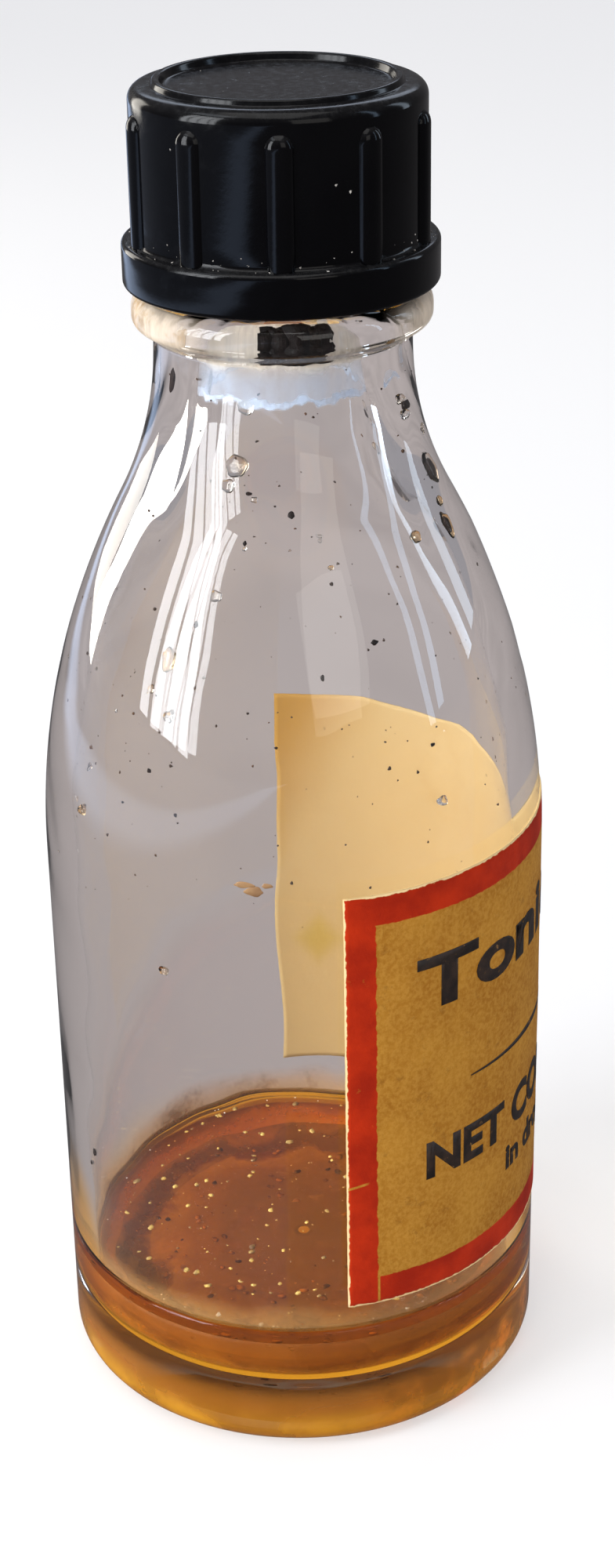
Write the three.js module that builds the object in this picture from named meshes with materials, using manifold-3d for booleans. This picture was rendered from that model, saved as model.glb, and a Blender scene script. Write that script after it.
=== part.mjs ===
// Round medicine bottle with a screw cap, its liner, a wrap-around label and a little liquid.
// Millimetres, +Z up. The origin is the centre of the base, and the label faces -Y.
import * as THREE from "three";
import { mergeVertices } from "three/addons/utils/BufferGeometryUtils.js";
import Module from "manifold-3d";

const wasm = await Module();
wasm.setup();

// Glass body
const bodyDiameter = 41;
const bodyHeight = 48.4; // straight side, up to where the shoulder starts
const shoulderHeight = 42.4;
const shoulderBalance = 0.7; // share of the shoulder's curve that is convex
const wallThickness = 2.3;
const baseThickness = 4.6;
const baseDome = 0.9; // how far the base is pushed up at its centre
const bearingWidth = 4; // flat ring that the bottle stands on
const heelRadius = 2;
const innerHeelRadius = 4;

// Neck and threaded finish
const finishDiameter = 16; // root of the thread
const finishHeight = 11.6;
const finishWall = 2; // from the thread's root in to the bore
const neckStep = 1.9; // the neck is thicker than the finish by this much on each side
const beadHeight = 3.2;
const beadProud = 1.5;
const beadLand = 0.4;
const lipRound = 0.6;
const threadPitch = 3;
const threadHeight = 1;
const bottleThreadTurns = 1.75;
const threadTopInset = 2.4; // from the lip down to the end of the thread

// Screw cap
const capThreadHeight = 0.75;
const capThreadTurns = 1.25;
const threadClearance = 0.45; // from the glass thread's crest to the cap's wall
const capWall = 1.6;
const capTopThickness = 2.2;
const capEdgeRound = 1;
const capToBeadGap = 0.5;
const flangeHeight = 3.4;
const flangeProud = 0.95;
const flangeRound = 0.35;
const ridgeWidth = 0.9;
const ridgeInset = 2.6; // from the skirt to the ridge's inner edge
const ridgeHeight = 0.6;
const ribCount = 10;
const ribWidth = 2.1;
const ribProud = 0.5;
const ribBevel = 0.25;
const ribTopInset = 2.6; // from the cap's top down to the ribs
const ribPhase = THREE.MathUtils.degToRad(172.5);

// Liner
const linerThickness = 1.2;
const facingThickness = 0.3;
const linerClearance = 0.3; // to the cap's wall
const seatGap = 0.1; // between pieces that lie on each other

// Label
const labelWidth = 62.5; // measured round the glass
const labelHeight = 38;
const labelBottom = 14.4;
const labelThickness = 0.12;
const labelGap = 0.1;

// Contents
const liquidLevel = 11;
const contentsGap = 0.3;
const residueThickness = 0.4;
const residueHeight = 4.5;
const residueSpan = THREE.MathUtils.degToRad(50);
const residueFacing = THREE.MathUtils.degToRad(170);

// Worked out from the sizes above
const bodyRadius = bodyDiameter / 2;
const cavityRadius = bodyRadius - wallThickness;
const finishRadius = finishDiameter / 2;
const boreRadius = finishRadius - finishWall;
const neckRadius = finishRadius + neckStep;
const neckBottom = bodyHeight + shoulderHeight;
const beadBottom = neckBottom + beadLand;
const beadTop = beadBottom + beadHeight;
const lipTop = beadTop + finishHeight;
const threadEnd = lipTop - threadTopInset;
const threadStart = threadEnd - bottleThreadTurns * threadPitch;
const facingBottom = lipTop + seatGap;
const linerBottom = facingBottom + facingThickness + seatGap;
const capCeiling = linerBottom + linerThickness + seatGap;
const capTop = capCeiling + capTopThickness;
const capBottom = beadTop + capToBeadGap;
const capInnerRadius = finishRadius + threadHeight + threadClearance;
const skirtRadius = capInnerRadius + capWall;
const flangeRadius = skirtRadius + flangeProud;

const roundSegments = 48;
const threadSegments = 24; // steps in one turn of a thread
const threadSides = 8;
const cutMargin = 1; // how far a cutting solid runs past the face it opens

// Points on an arc in the profile plane, as radius and height, angles in degrees.
function arc(centreRadius, centreZ, radius, fromDegrees, toDegrees, steps) {
  const points = [];
  for (let i = 0; i <= steps; i += 1) {
    const angle = THREE.MathUtils.degToRad(fromDegrees + ((toDegrees - fromDegrees) * i) / steps);
    points.push([centreRadius + radius * Math.cos(angle), centreZ + radius * Math.sin(angle)]);
  }
  return points;
}

// Shoulder line: a convex arc off the body that runs into a concave arc up the neck.
function shoulderLine(lowerRadius, upperRadius) {
  const inward = lowerRadius - upperRadius;
  const bothRadii = (inward ** 2 + shoulderHeight ** 2) / (2 * inward);
  const convex = bothRadii * shoulderBalance;
  const concave = bothRadii - convex;
  const turn = THREE.MathUtils.radToDeg(Math.atan2(shoulderHeight, bothRadii - inward));
  return [
    ...arc(lowerRadius - convex, bodyHeight, convex, 0, turn, 7),
    ...arc(upperRadius + concave, neckBottom, concave, 180 + turn, 180, 5).slice(1),
  ];
}

// A turned solid. The profile runs up the outside, and it starts and ends on the axis.
function turned(profile) {
  const points = profile.map(([radius, z]) => new THREE.Vector2(Math.max(radius, 0), z));
  return new THREE.LatheGeometry(points, roundSegments).rotateX(Math.PI / 2);
}

function solidOf(geometry) {
  const bare = geometry.index ? geometry.toNonIndexed() : geometry.clone();
  bare.deleteAttribute("normal");
  bare.deleteAttribute("uv");
  const merged = mergeVertices(bare, 1e-3);
  return new wasm.Manifold(
    new wasm.Mesh({
      numProp: 3,
      vertProperties: merged.attributes.position.array,
      triVerts: new Uint32Array(merged.index.array),
    }),
  );
}

function geometryOf(solid) {
  const mesh = solid.getMesh();
  const geometry = new THREE.BufferGeometry();
  geometry.setAttribute("position", new THREE.BufferAttribute(mesh.vertProperties, 3));
  geometry.setIndex(new THREE.BufferAttribute(mesh.triVerts, 1));
  geometry.computeVertexNormals();
  return geometry;
}

// The centre line of a right-hand thread. Its ends move sideways into the wall that carries it.
class ThreadLine extends THREE.Curve {
  constructor(radius, startZ, turns, sink) {
    super();
    Object.assign(this, { radius, startZ, turns, sink });
  }

  getPoint(t, target = new THREE.Vector3()) {
    const fadeTurns = 0.2;
    const fade = Math.min(1, (Math.min(t, 1 - t) * this.turns) / fadeTurns);
    const radius = this.radius + this.sink * (1 - fade) ** 2;
    const angle = 2 * Math.PI * this.turns * t;
    const z = this.startZ + threadPitch * this.turns * t;
    return target.set(radius * Math.cos(angle), radius * Math.sin(angle), z);
  }
}

function threadSolid(line, sectionRadius) {
  const section = new THREE.Shape().absarc(0, 0, sectionRadius, 0, 2 * Math.PI);
  return solidOf(
    new THREE.ExtrudeGeometry(section, {
      extrudePath: line,
      steps: Math.round(line.turns * threadSegments),
      curveSegments: threadSides,
      bevelEnabled: false,
    }),
  );
}

function glassOutside() {
  const beadRadius = beadHeight / 2;
  const beadCentre = neckRadius + beadProud - beadRadius;
  return turned([
    [0, baseDome],
    [(bodyRadius - heelRadius - bearingWidth) / 2, baseDome * 0.75],
    [bodyRadius - heelRadius - bearingWidth, 0],
    ...arc(bodyRadius - heelRadius, heelRadius, heelRadius, -90, 0, 4),
    ...shoulderLine(bodyRadius, neckRadius),
    [neckRadius, beadBottom],
    ...arc(beadCentre, beadBottom + beadRadius, beadRadius, -75, 75, 6),
    [finishRadius, beadTop],
    ...arc(finishRadius - lipRound, lipTop - lipRound, lipRound, 0, 90, 2),
    [0, lipTop],
  ]);
}

function glassCavity() {
  return turned([
    [0, baseThickness + baseDome],
    ...arc(cavityRadius - innerHeelRadius, baseThickness + innerHeelRadius, innerHeelRadius, -90, 0, 4),
    ...shoulderLine(cavityRadius, boreRadius),
    [boreRadius, lipTop - lipRound],
    [boreRadius + lipRound, lipTop],
    [boreRadius + lipRound, lipTop + cutMargin],
    [0, lipTop + cutMargin],
  ]);
}

function glassBottle() {
  const line = new ThreadLine(finishRadius, threadStart, bottleThreadTurns, -threadHeight);
  const outside = solidOf(glassOutside()).add(threadSolid(line, threadHeight));
  return geometryOf(outside.subtract(solidOf(glassCavity())));
}

function capOutside() {
  const ridgeInner = skirtRadius - ridgeInset;
  const ridgeOuter = ridgeInner + ridgeWidth;
  const land = capTop - ridgeHeight * 0.75;
  return turned([
    [0, capBottom],
    [flangeRadius - flangeRound, capBottom],
    ...arc(flangeRadius - flangeRound, capBottom + flangeRound, flangeRound, -90, 0, 2).slice(1),
    ...arc(flangeRadius - flangeRound, capBottom + flangeHeight - flangeRound, flangeRound, 0, 90, 2),
    [skirtRadius, capBottom + flangeHeight],
    ...arc(skirtRadius - capEdgeRound, land - capEdgeRound, capEdgeRound, 0, 90, 4),
    [ridgeOuter, land],
    [ridgeOuter - ridgeWidth / 4, capTop],
    [ridgeInner + ridgeWidth / 4, capTop],
    [ridgeInner, capTop - ridgeHeight],
    [0, capTop - ridgeHeight],
  ]);
}

function capCavity() {
  const mouthBevel = 0.5;
  return turned([
    [0, capBottom - cutMargin],
    [capInnerRadius + mouthBevel, capBottom - cutMargin],
    [capInnerRadius + mouthBevel, capBottom],
    [capInnerRadius, capBottom + mouthBevel],
    [capInnerRadius, capCeiling],
    [0, capCeiling],
  ]);
}

// One upright grip rib with a round top, standing on the skirt at the given angle.
function capRib(angle) {
  const ribFoot = capBottom + flangeHeight - flangeRound;
  const halfWidth = ribWidth / 2 - ribBevel;
  const archZ = capTop - ribTopInset - ribWidth / 2;
  const outline = new THREE.Shape();
  outline.moveTo(-halfWidth, ribFoot);
  outline.lineTo(halfWidth, ribFoot);
  outline.absarc(0, archZ, halfWidth, 0, Math.PI);
  outline.closePath();
  const buried = capWall / 2;
  const rib = new THREE.ExtrudeGeometry(outline, {
    depth: buried + ribProud - ribBevel,
    curveSegments: 6,
    bevelThickness: ribBevel,
    bevelSize: ribBevel,
    bevelSegments: 2,
  });
  return rib
    .rotateX(Math.PI / 2)
    .rotateZ(Math.PI / 2)
    .translate(skirtRadius - buried, 0, 0)
    .rotateZ(angle);
}

function screwCap() {
  const outside = solidOf(capOutside());
  let cap = outside;
  for (let i = 0; i < ribCount; i += 1) {
    cap = cap.add(solidOf(capRib(ribPhase + (2 * Math.PI * i) / ribCount)));
  }
  const line = new ThreadLine(capInnerRadius, threadStart - threadPitch / 2, capThreadTurns, capThreadHeight);
  const thread = threadSolid(line, capThreadHeight).intersect(outside);
  return geometryOf(cap.subtract(solidOf(capCavity())).add(thread));
}

function disc(radius, bottom, thickness) {
  return turned([
    [0, bottom],
    [radius, bottom],
    [radius, bottom + thickness],
    [0, bottom + thickness],
  ]);
}

// A thin plate bent round the axis: part of a ring, extruded upwards.
function bentPlate(innerRadius, thickness, middleAngle, span, bottom, height) {
  const start = middleAngle - span / 2;
  const end = middleAngle + span / 2;
  const ring = new THREE.Shape();
  ring.absarc(0, 0, innerRadius + thickness, start, end, false);
  ring.absarc(0, 0, innerRadius, end, start, true);
  ring.closePath();
  const segments = Math.ceil((span / (2 * Math.PI)) * roundSegments * 1.5);
  return new THREE.ExtrudeGeometry(ring, {
    depth: height,
    curveSegments: segments,
    bevelEnabled: false,
  }).translate(0, 0, bottom);
}

function bottleLabel() {
  const radius = bodyRadius + labelGap;
  return bentPlate(radius, labelThickness, -Math.PI / 2, labelWidth / radius, labelBottom, labelHeight);
}

function liquid() {
  const radius = cavityRadius - contentsGap;
  const corner = innerHeelRadius - contentsGap;
  const floor = baseThickness + contentsGap;
  return turned([
    [0, floor + baseDome],
    ...arc(radius - corner, floor + corner, corner, -90, 0, 4),
    [radius, liquidLevel],
    [0, liquidLevel],
  ]);
}

function neckResidue() {
  const radius = boreRadius - contentsGap - residueThickness;
  return bentPlate(radius, residueThickness, residueFacing, residueSpan, beadBottom, residueHeight);
}

function piece(name, geometry, color, roughness, options = {}) {
  const material = new THREE.MeshStandardMaterial({ color, roughness, metalness: 0, ...options });
  const mesh = new THREE.Mesh(geometry, material);
  mesh.name = name;
  return mesh;
}

const clear = { transparent: true, opacity: 0.35 };
const bottle = new THREE.Group();
bottle.add(
  piece("glass_bottle", glassBottle(), "#d9d8d2", 0.05, clear),
  piece("bottle_label", bottleLabel(), "#b98a3c", 0.8),
  piece("medicine_liquid", liquid(), "#9a4d10", 0.05, clear),
  piece("neck_residue", neckResidue(), "#2a1710", 0.6),
);

const closure = new THREE.Group();
closure.add(
  piece("screw_cap", screwCap(), "#0c0d12", 0.22),
  piece("cap_liner", disc(capInnerRadius - linerClearance, linerBottom, linerThickness), "#b9a58a", 0.9),
  piece("liner_facing", disc(capInnerRadius - linerClearance, facingBottom, facingThickness), "#e6dcc4", 0.6),
);

const medicineBottle = new THREE.Group();
medicineBottle.add(bottle, closure);

export default medicineBottle;
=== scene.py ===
import math

import bmesh
import bpy
import numpy as np
from mathutils import Matrix, Vector


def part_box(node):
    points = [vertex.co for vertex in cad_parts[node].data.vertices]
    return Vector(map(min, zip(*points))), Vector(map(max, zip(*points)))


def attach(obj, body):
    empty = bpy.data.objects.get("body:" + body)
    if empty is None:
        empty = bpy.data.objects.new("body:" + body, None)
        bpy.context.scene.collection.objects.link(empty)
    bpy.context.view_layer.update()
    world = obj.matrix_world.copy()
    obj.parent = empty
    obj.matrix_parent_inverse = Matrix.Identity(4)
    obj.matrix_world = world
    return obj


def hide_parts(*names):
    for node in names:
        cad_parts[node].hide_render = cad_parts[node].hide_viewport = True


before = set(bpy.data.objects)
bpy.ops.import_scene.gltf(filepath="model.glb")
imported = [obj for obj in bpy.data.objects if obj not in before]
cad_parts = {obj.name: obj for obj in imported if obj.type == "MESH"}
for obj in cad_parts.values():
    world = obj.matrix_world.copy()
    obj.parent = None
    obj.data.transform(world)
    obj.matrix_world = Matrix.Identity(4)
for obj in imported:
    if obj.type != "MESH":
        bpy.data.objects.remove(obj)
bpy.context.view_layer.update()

mm = 0.001
scene = bpy.context.scene

glassLow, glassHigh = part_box("glass_bottle")
capLow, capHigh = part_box("screw_cap")
linerLow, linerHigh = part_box("cap_liner")
facingLow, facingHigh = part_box("liner_facing")
labelLow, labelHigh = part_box("bottle_label")
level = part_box("medicine_liquid")[1][2]  # the top of the liquid

bodyRadius = (glassHigh[0] - glassLow[0]) / 2
lipTop = glassHigh[2]
flangeRadius = (capHigh[0] - capLow[0]) / 2
capBottom, capTop = capLow[2], capHigh[2]


# small mesh helpers


def addObject(name, mesh):
    obj = bpy.data.objects.new(name, mesh)
    scene.collection.objects.link(obj)
    return obj


def meshFrom(name, verts, faces):
    mesh = bpy.data.meshes.new(name)
    mesh.from_pydata([tuple(v) for v in verts], [], [tuple(f) for f in faces])
    mesh.polygons.foreach_set("use_smooth", [True] * len(mesh.polygons))
    mesh.update()
    return mesh


def roundedLine(corners, stepDegrees=10):
    # corners are (radius, z, rounding), joined by straight runs and by arcs at the rounded ones
    points = [Vector(corners[0][:2])]
    for before, here, after in zip(corners, corners[1:], corners[2:]):
        corner, rounding = Vector(here[:2]), here[2]
        if not rounding:
            points.append(corner)
            continue
        back = (Vector(before[:2]) - corner).normalized()
        on = (Vector(after[:2]) - corner).normalized()
        opening = back.angle(on)
        reach = rounding / math.tan(opening / 2)
        centre = corner + (back + on).normalized() * rounding / math.sin(opening / 2)
        first, last = corner + back * reach - centre, corner + on * reach - centre
        steps = max(2, math.ceil(math.degrees(math.pi - opening) / stepDegrees))
        sweep = first.angle_signed(last)
        for i in range(steps + 1):
            turned = first.copy()
            turned.rotate(Matrix.Rotation(-sweep * i / steps, 2))
            points.append(centre + turned)
    points.append(Vector(corners[-1][:2]))
    return [tuple(p) for p in points]


def spaced(points, spacing):
    # adds points so that no run is longer than the spacing
    out = [points[0]]
    for (r0, z0), (r1, z1) in zip(points, points[1:]):
        steps = max(1, math.ceil(math.hypot(r1 - r0, z1 - z0) / spacing))
        out += [(r0 + (r1 - r0) * i / steps, z0 + (z1 - z0) * i / steps) for i in range(1, steps + 1)]
    return out


def turnedMesh(name, profile, segments, push=None):
    # the profile starts and ends on the axis, outside first; push moves points outwards
    radii = np.array([p[0] for p in profile[1:-1]])[:, None]
    heights = np.array([p[1] for p in profile[1:-1]])[:, None]
    angles = (np.arange(segments) * 2 * math.pi / segments)[None, :]
    grid = radii + 0 * angles
    if push:
        grid = grid + push(radii, heights, angles)
    ring = np.stack([grid * np.cos(angles), grid * np.sin(angles), heights + 0 * grid], -1).reshape(-1, 3)
    verts = [(0, 0, profile[0][1]), *ring.tolist(), (0, 0, profile[-1][1])]
    faces = []
    rows = len(radii)
    for j in range(segments):
        k = (j + 1) % segments
        faces.append((0, 1 + k, 1 + j))
        faces.append((1 + (rows - 1) * segments + j, 1 + (rows - 1) * segments + k, len(verts) - 1))
        for i in range(rows - 1):
            low, high = 1 + i * segments, 1 + (i + 1) * segments
            faces.append((low + j, low + k, high + k, high + j))
    return meshFrom(name, verts, faces)


def bentSheet(name, columns, rows, place):
    # a closed sheet: place(column share, row share, side) gives a point, side 0 inside and 1 outside
    verts, faces, stride = [], [], columns + 1
    for side in (0, 1):
        for r in range(rows + 1):
            for c in range(columns + 1):
                verts.append(place(c / columns, r / rows, side))
    outer = stride * (rows + 1)
    for r in range(rows):
        for c in range(columns):
            a, b = r * stride + c, (r + 1) * stride + c
            faces.append((outer + a, outer + a + 1, outer + b + 1, outer + b))
            faces.append((a, b, b + 1, a + 1))
    for r in range(rows):
        for a, b in ((r * stride, (r + 1) * stride), ((r + 1) * stride + columns, r * stride + columns)):
            faces.append((a, outer + a, outer + b, b))
    for c in range(columns):
        for a, b in ((c + 1, c), (rows * stride + c, rows * stride + c + 1)):
            faces.append((a, outer + a, outer + b, b))
    return meshFrom(name, verts, faces)


def ringSheet(name, line, thickness, segments=144):
    # a thin closed skin round the axis, along a line of (radius, z) that climbs the inside of the glass
    points = [Vector(p) for p in line]
    over = []
    for i, point in enumerate(points):
        along = (points[min(i + 1, len(points) - 1)] - points[max(i - 1, 0)]).normalized()
        over.append(point + Vector((-along.y, along.x)) * thickness)
    loop = points + over[::-1]
    verts = [(p.x * math.cos(a), p.x * math.sin(a), p.y) for p in loop
             for a in (2 * math.pi * j / segments for j in range(segments))]
    faces = []
    for i in range(len(loop)):
        low, high = i * segments, (i + 1) % len(loop) * segments
        for j in range(segments):
            k = (j + 1) % segments
            faces.append((high + j, high + k, low + k, low + j))
    return meshFrom(name, verts, faces)


def smoothStep(low, high, value):
    share = np.clip((value - low) / (high - low), 0, 1)
    return share * share * (3 - 2 * share)


def threadRise(heights, angles, start, turns, pitch, rise, halfWidth):
    # height of a right-hand thread over its wall, running out over a fifth of a turn at both ends
    out = 0 * (heights + angles)
    for lap in range(math.ceil(turns)):
        along = angles / (2 * math.pi) + lap
        runOut = smoothStep(0, 0.2, np.minimum(along, turns - along))
        across = np.minimum(np.abs(heights - start - pitch * along) / halfWidth, 1)
        out = np.maximum(out, rise * runOut * (0.5 + 0.5 * np.cos(math.pi * across)))
    return out


# shader helpers


def put(tree, socket, value):
    if isinstance(value, bpy.types.NodeSocket):
        tree.links.new(value, socket)
    else:
        socket.default_value = value


def newMaterial(name):
    # the material, its tree, its shader and the place in the object that its patterns follow
    material = bpy.data.materials.new(name)
    material.use_nodes = True
    tree = material.node_tree
    place = tree.nodes.new("ShaderNodeTexCoord").outputs["Object"]
    return material, tree, tree.nodes["Principled BSDF"], place


def dress(tree, node, values):
    for key, value in values.items():
        put(tree, node.inputs[key], value)


def calc(tree, operation, a, b=0.0, c=0.0):
    node = tree.nodes.new("ShaderNodeMath")
    node.operation = operation
    for socket, value in zip(node.inputs, (a, b, c)):
        put(tree, socket, value)
    return node.outputs[0]


def spread(tree, value, low, high, toLow=0.0, toHigh=1.0):
    node = tree.nodes.new("ShaderNodeMapRange")
    node.interpolation_type = "SMOOTHSTEP"
    dress(tree, node, {"Value": value, "From Min": low, "From Max": high, "To Min": toLow, "To Max": toHigh})
    return node.outputs["Result"]


def stretched(tree, place, factors):
    node = tree.nodes.new("ShaderNodeVectorMath")
    node.operation = "MULTIPLY"
    put(tree, node.inputs[0], place)
    put(tree, node.inputs[1], factors)
    return node.outputs["Vector"]


def reachAlong(tree, place, direction):
    # how far a place lies along a direction
    node = tree.nodes.new("ShaderNodeVectorMath")
    node.operation = "DOT_PRODUCT"
    put(tree, node.inputs[0], place)
    put(tree, node.inputs[1], direction)
    return node.outputs["Value"]


def reachOf(tree, place):
    node = tree.nodes.new("ShaderNodeVectorMath")
    node.operation = "LENGTH"
    put(tree, node.inputs[0], place)
    return node.outputs["Value"]


def noise(tree, place, scale, detail=3.0, roughness=0.55):
    node = tree.nodes.new("ShaderNodeTexNoise")
    dress(tree, node, {"Vector": place, "Scale": scale, "Detail": detail, "Roughness": roughness})
    return node.outputs["Fac"]


def blendColour(tree, share, a, b):
    node = tree.nodes.new("ShaderNodeMix")
    node.data_type = "RGBA"
    put(tree, node.inputs[0], share)
    put(tree, node.inputs[6], a)
    put(tree, node.inputs[7], b)
    return node.outputs[2]


def bands(tree, value, stops):
    # a run of colours, each at its place between 0 and 1
    node = tree.nodes.new("ShaderNodeValToRGB")
    put(tree, node.inputs[0], value)
    elements = node.color_ramp.elements
    while len(elements) < len(stops):
        elements.new(0.5)
    for element, (where, colour) in zip(elements, stops):
        element.position, element.color = where, colour
    return node.outputs[0]


def bump(tree, height, strength, distance):
    node = tree.nodes.new("ShaderNodeBump")
    dress(tree, node, {"Height": height, "Strength": strength, "Distance": distance})
    return node.outputs["Normal"]


def passLight(tree, shader, tint):
    # light falls through a clear material on its way to what is inside
    path = tree.nodes.new("ShaderNodeLightPath")
    clear = tree.nodes.new("ShaderNodeBsdfTransparent")
    clear.inputs["Color"].default_value = tint
    either = tree.nodes.new("ShaderNodeMixShader")
    tree.links.new(path.outputs["Is Shadow Ray"], either.inputs["Fac"])
    tree.links.new(shader.outputs[0], either.inputs[1])
    tree.links.new(clear.outputs[0], either.inputs[2])
    tree.links.new(either.outputs[0], tree.nodes["Material Output"].inputs["Surface"])


def newGroup(name, inputs, outputs):
    tree = bpy.data.node_groups.new(name, "ShaderNodeTree")
    for label, kind, value in inputs:
        socket = tree.interface.new_socket(label, in_out="INPUT", socket_type=kind)
        if value is not None:
            socket.default_value = value
    for label, kind in outputs:
        tree.interface.new_socket(label, in_out="OUTPUT", socket_type=kind)
    return tree, tree.nodes.new("NodeGroupInput").outputs, tree.nodes.new("NodeGroupOutput").inputs


def useGroup(tree, group, **values):
    node = tree.nodes.new("ShaderNodeGroup")
    node.node_tree = group
    dress(tree, node, values)
    return node.outputs


def makeGrimeGroup():
    # patches of dirt: a broad noise broken up by a fine one
    tree, given, out = newGroup(
        "grimePatches",
        [("Place", "NodeSocketVector", None), ("Scale", "NodeSocketFloat", 100.0),
         ("Cover", "NodeSocketFloat", 0.5), ("Edge", "NodeSocketFloat", 0.1)],
        [("Mask", "NodeSocketFloat")])
    broad = noise(tree, given["Place"], given["Scale"], 4.0, 0.6)
    fine = noise(tree, given["Place"], calc(tree, "MULTIPLY", given["Scale"], 7.0), 3.0, 0.7)
    both = calc(tree, "ADD", calc(tree, "MULTIPLY", broad, 0.7), calc(tree, "MULTIPLY", fine, 0.3))
    threshold = calc(tree, "SUBTRACT", 1.0, given["Cover"])
    put(tree, out["Mask"], spread(tree, both, threshold, calc(tree, "ADD", threshold, given["Edge"])))
    return tree


def makeGrainGroup():
    # fine grain as a height, and a slow change of tone
    tree, given, out = newGroup(
        "fineGrain",
        [("Place", "NodeSocketVector", None), ("Scale", "NodeSocketFloat", 2000.0)],
        [("Height", "NodeSocketFloat"), ("Tone", "NodeSocketFloat")])
    put(tree, out["Height"], noise(tree, given["Place"], given["Scale"], 5.0, 0.65))
    slow = noise(tree, given["Place"], calc(tree, "MULTIPLY", given["Scale"], 0.12), 4.0, 0.6)
    put(tree, out["Tone"], spread(tree, slow, 0.3, 0.7))
    return tree


def makeDustGroup():
    # dust lies on what faces up, and thins out on steep sides
    tree, given, out = newGroup(
        "settledDust",
        [("Place", "NodeSocketVector", None), ("Scale", "NodeSocketFloat", 900.0),
         ("Amount", "NodeSocketFloat", 0.5)],
        [("Mask", "NodeSocketFloat")])
    normal = tree.nodes.new("ShaderNodeNewGeometry").outputs["Normal"]
    split = tree.nodes.new("ShaderNodeSeparateXYZ")
    put(tree, split.inputs[0], normal)
    upward = spread(tree, split.outputs["Z"], 0.15, 0.95)
    speckle = spread(tree, noise(tree, given["Place"], given["Scale"], 6.0, 0.75), 0.42, 0.72)
    lying = calc(tree, "MULTIPLY", upward, calc(tree, "ADD", calc(tree, "MULTIPLY", speckle, 0.7), 0.3))
    put(tree, out["Mask"], calc(tree, "MULTIPLY", lying, given["Amount"]))
    return tree


grimePatches, fineGrain, settledDust = makeGrimeGroup(), makeGrainGroup(), makeDustGroup()


# geometry node helpers


def newNodesTree(name, inputs):
    tree = bpy.data.node_groups.new(name, "GeometryNodeTree")
    for label, kind in inputs:
        tree.interface.new_socket(label, in_out="INPUT", socket_type=kind)
    tree.interface.new_socket("Geometry", in_out="OUTPUT", socket_type="NodeSocketGeometry")
    return tree, tree.nodes.new("NodeGroupInput").outputs, tree.nodes.new("NodeGroupOutput").inputs


def placed(tree, kind, values, **settings):
    node = tree.nodes.new(kind)
    for key, value in settings.items():
        setattr(node, key, value)
    dress(tree, node, values)
    return node.outputs


def finishTree(tree, out, instances, material):
    real = placed(tree, "GeometryNodeRealizeInstances", {"Geometry": instances})
    done = placed(tree, "GeometryNodeSetMaterial", {"Geometry": real[0], "Material": material})
    put(tree, out["Geometry"], done[0])


def makeRingTree():
    # copies of one object turned about the Z axis
    tree, given, out = newNodesTree("ringOfCopies", [
        ("Copy", "NodeSocketObject"), ("Count", "NodeSocketInt"), ("Phase", "NodeSocketFloat"),
        ("Material", "NodeSocketMaterial")])
    points = placed(tree, "GeometryNodePoints", {"Count": given["Count"]})
    index = placed(tree, "GeometryNodeInputIndex", {})
    share = calc(tree, "DIVIDE", index[0], given["Count"])
    angle = calc(tree, "MULTIPLY_ADD", share, 2 * math.pi, given["Phase"])
    euler = placed(tree, "ShaderNodeCombineXYZ", {"Z": angle})
    turn = placed(tree, "FunctionNodeEulerToRotation", {"Euler": euler[0]})
    copy = placed(tree, "GeometryNodeObjectInfo", {"Object": given["Copy"]})
    spots = placed(tree, "GeometryNodeInstanceOnPoints",
                   {"Points": points[0], "Instance": copy["Geometry"], "Rotation": turn[0]})
    finishTree(tree, out, spots[0], given["Material"])
    return tree


def makeScatterTree():
    # copies of one object scattered over the host mesh, at random sizes and turns
    tree, given, out = newNodesTree("scatteredCopies", [
        ("Host", "NodeSocketGeometry"), ("Copy", "NodeSocketObject"), ("Density", "NodeSocketFloat"),
        ("Smallest", "NodeSocketFloat"), ("Largest", "NodeSocketFloat"), ("Seed", "NodeSocketInt"),
        ("Material", "NodeSocketMaterial")])
    spots = placed(tree, "GeometryNodeDistributePointsOnFaces",
                   {"Mesh": given["Host"], "Density": given["Density"], "Seed": given["Seed"]})
    draw = placed(tree, "FunctionNodeRandomValue", {"Seed": given["Seed"]})
    skewed = calc(tree, "POWER", draw[1], 3.0)  # many small ones and a few large ones
    reach = calc(tree, "SUBTRACT", given["Largest"], given["Smallest"])
    size = calc(tree, "MULTIPLY_ADD", skewed, reach, given["Smallest"])
    spin = placed(tree, "FunctionNodeRandomValue", {"Seed": calc(tree, "ADD", given["Seed"], 7.0)})
    about = placed(tree, "ShaderNodeCombineXYZ", {"Z": calc(tree, "MULTIPLY", spin[1], 2 * math.pi)})
    turn = placed(tree, "FunctionNodeRotateRotation",
                  {"Rotation": spots["Rotation"], "Rotate By": placed(
                      tree, "FunctionNodeEulerToRotation", {"Euler": about[0]})[0]}, rotation_space="LOCAL")
    copy = placed(tree, "GeometryNodeObjectInfo", {"Object": given["Copy"]})
    made = placed(tree, "GeometryNodeInstanceOnPoints",
                  {"Points": spots[0], "Instance": copy["Geometry"], "Rotation": turn[0], "Scale": size})
    finishTree(tree, out, made[0], given["Material"])
    return tree


def bakeNodes(name, tree, values, host=None):
    # runs the tree once and keeps its result as a plain mesh
    obj = addObject(name, host or bpy.data.meshes.new(name))
    modifier = obj.modifiers.new("nodes", "NODES")
    modifier.node_group = tree
    for item in tree.interface.items_tree:
        if item.in_out == "INPUT" and item.name in values:
            modifier[item.identifier] = values[item.name]
    graph = bpy.context.evaluated_depsgraph_get()
    result = bpy.data.meshes.new_from_object(obj.evaluated_get(graph), depsgraph=graph)
    result.name = name
    obj.modifiers.remove(modifier)
    obj.data = result
    result.polygons.foreach_set("use_smooth", [True] * len(result.polygons))
    return obj


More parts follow.
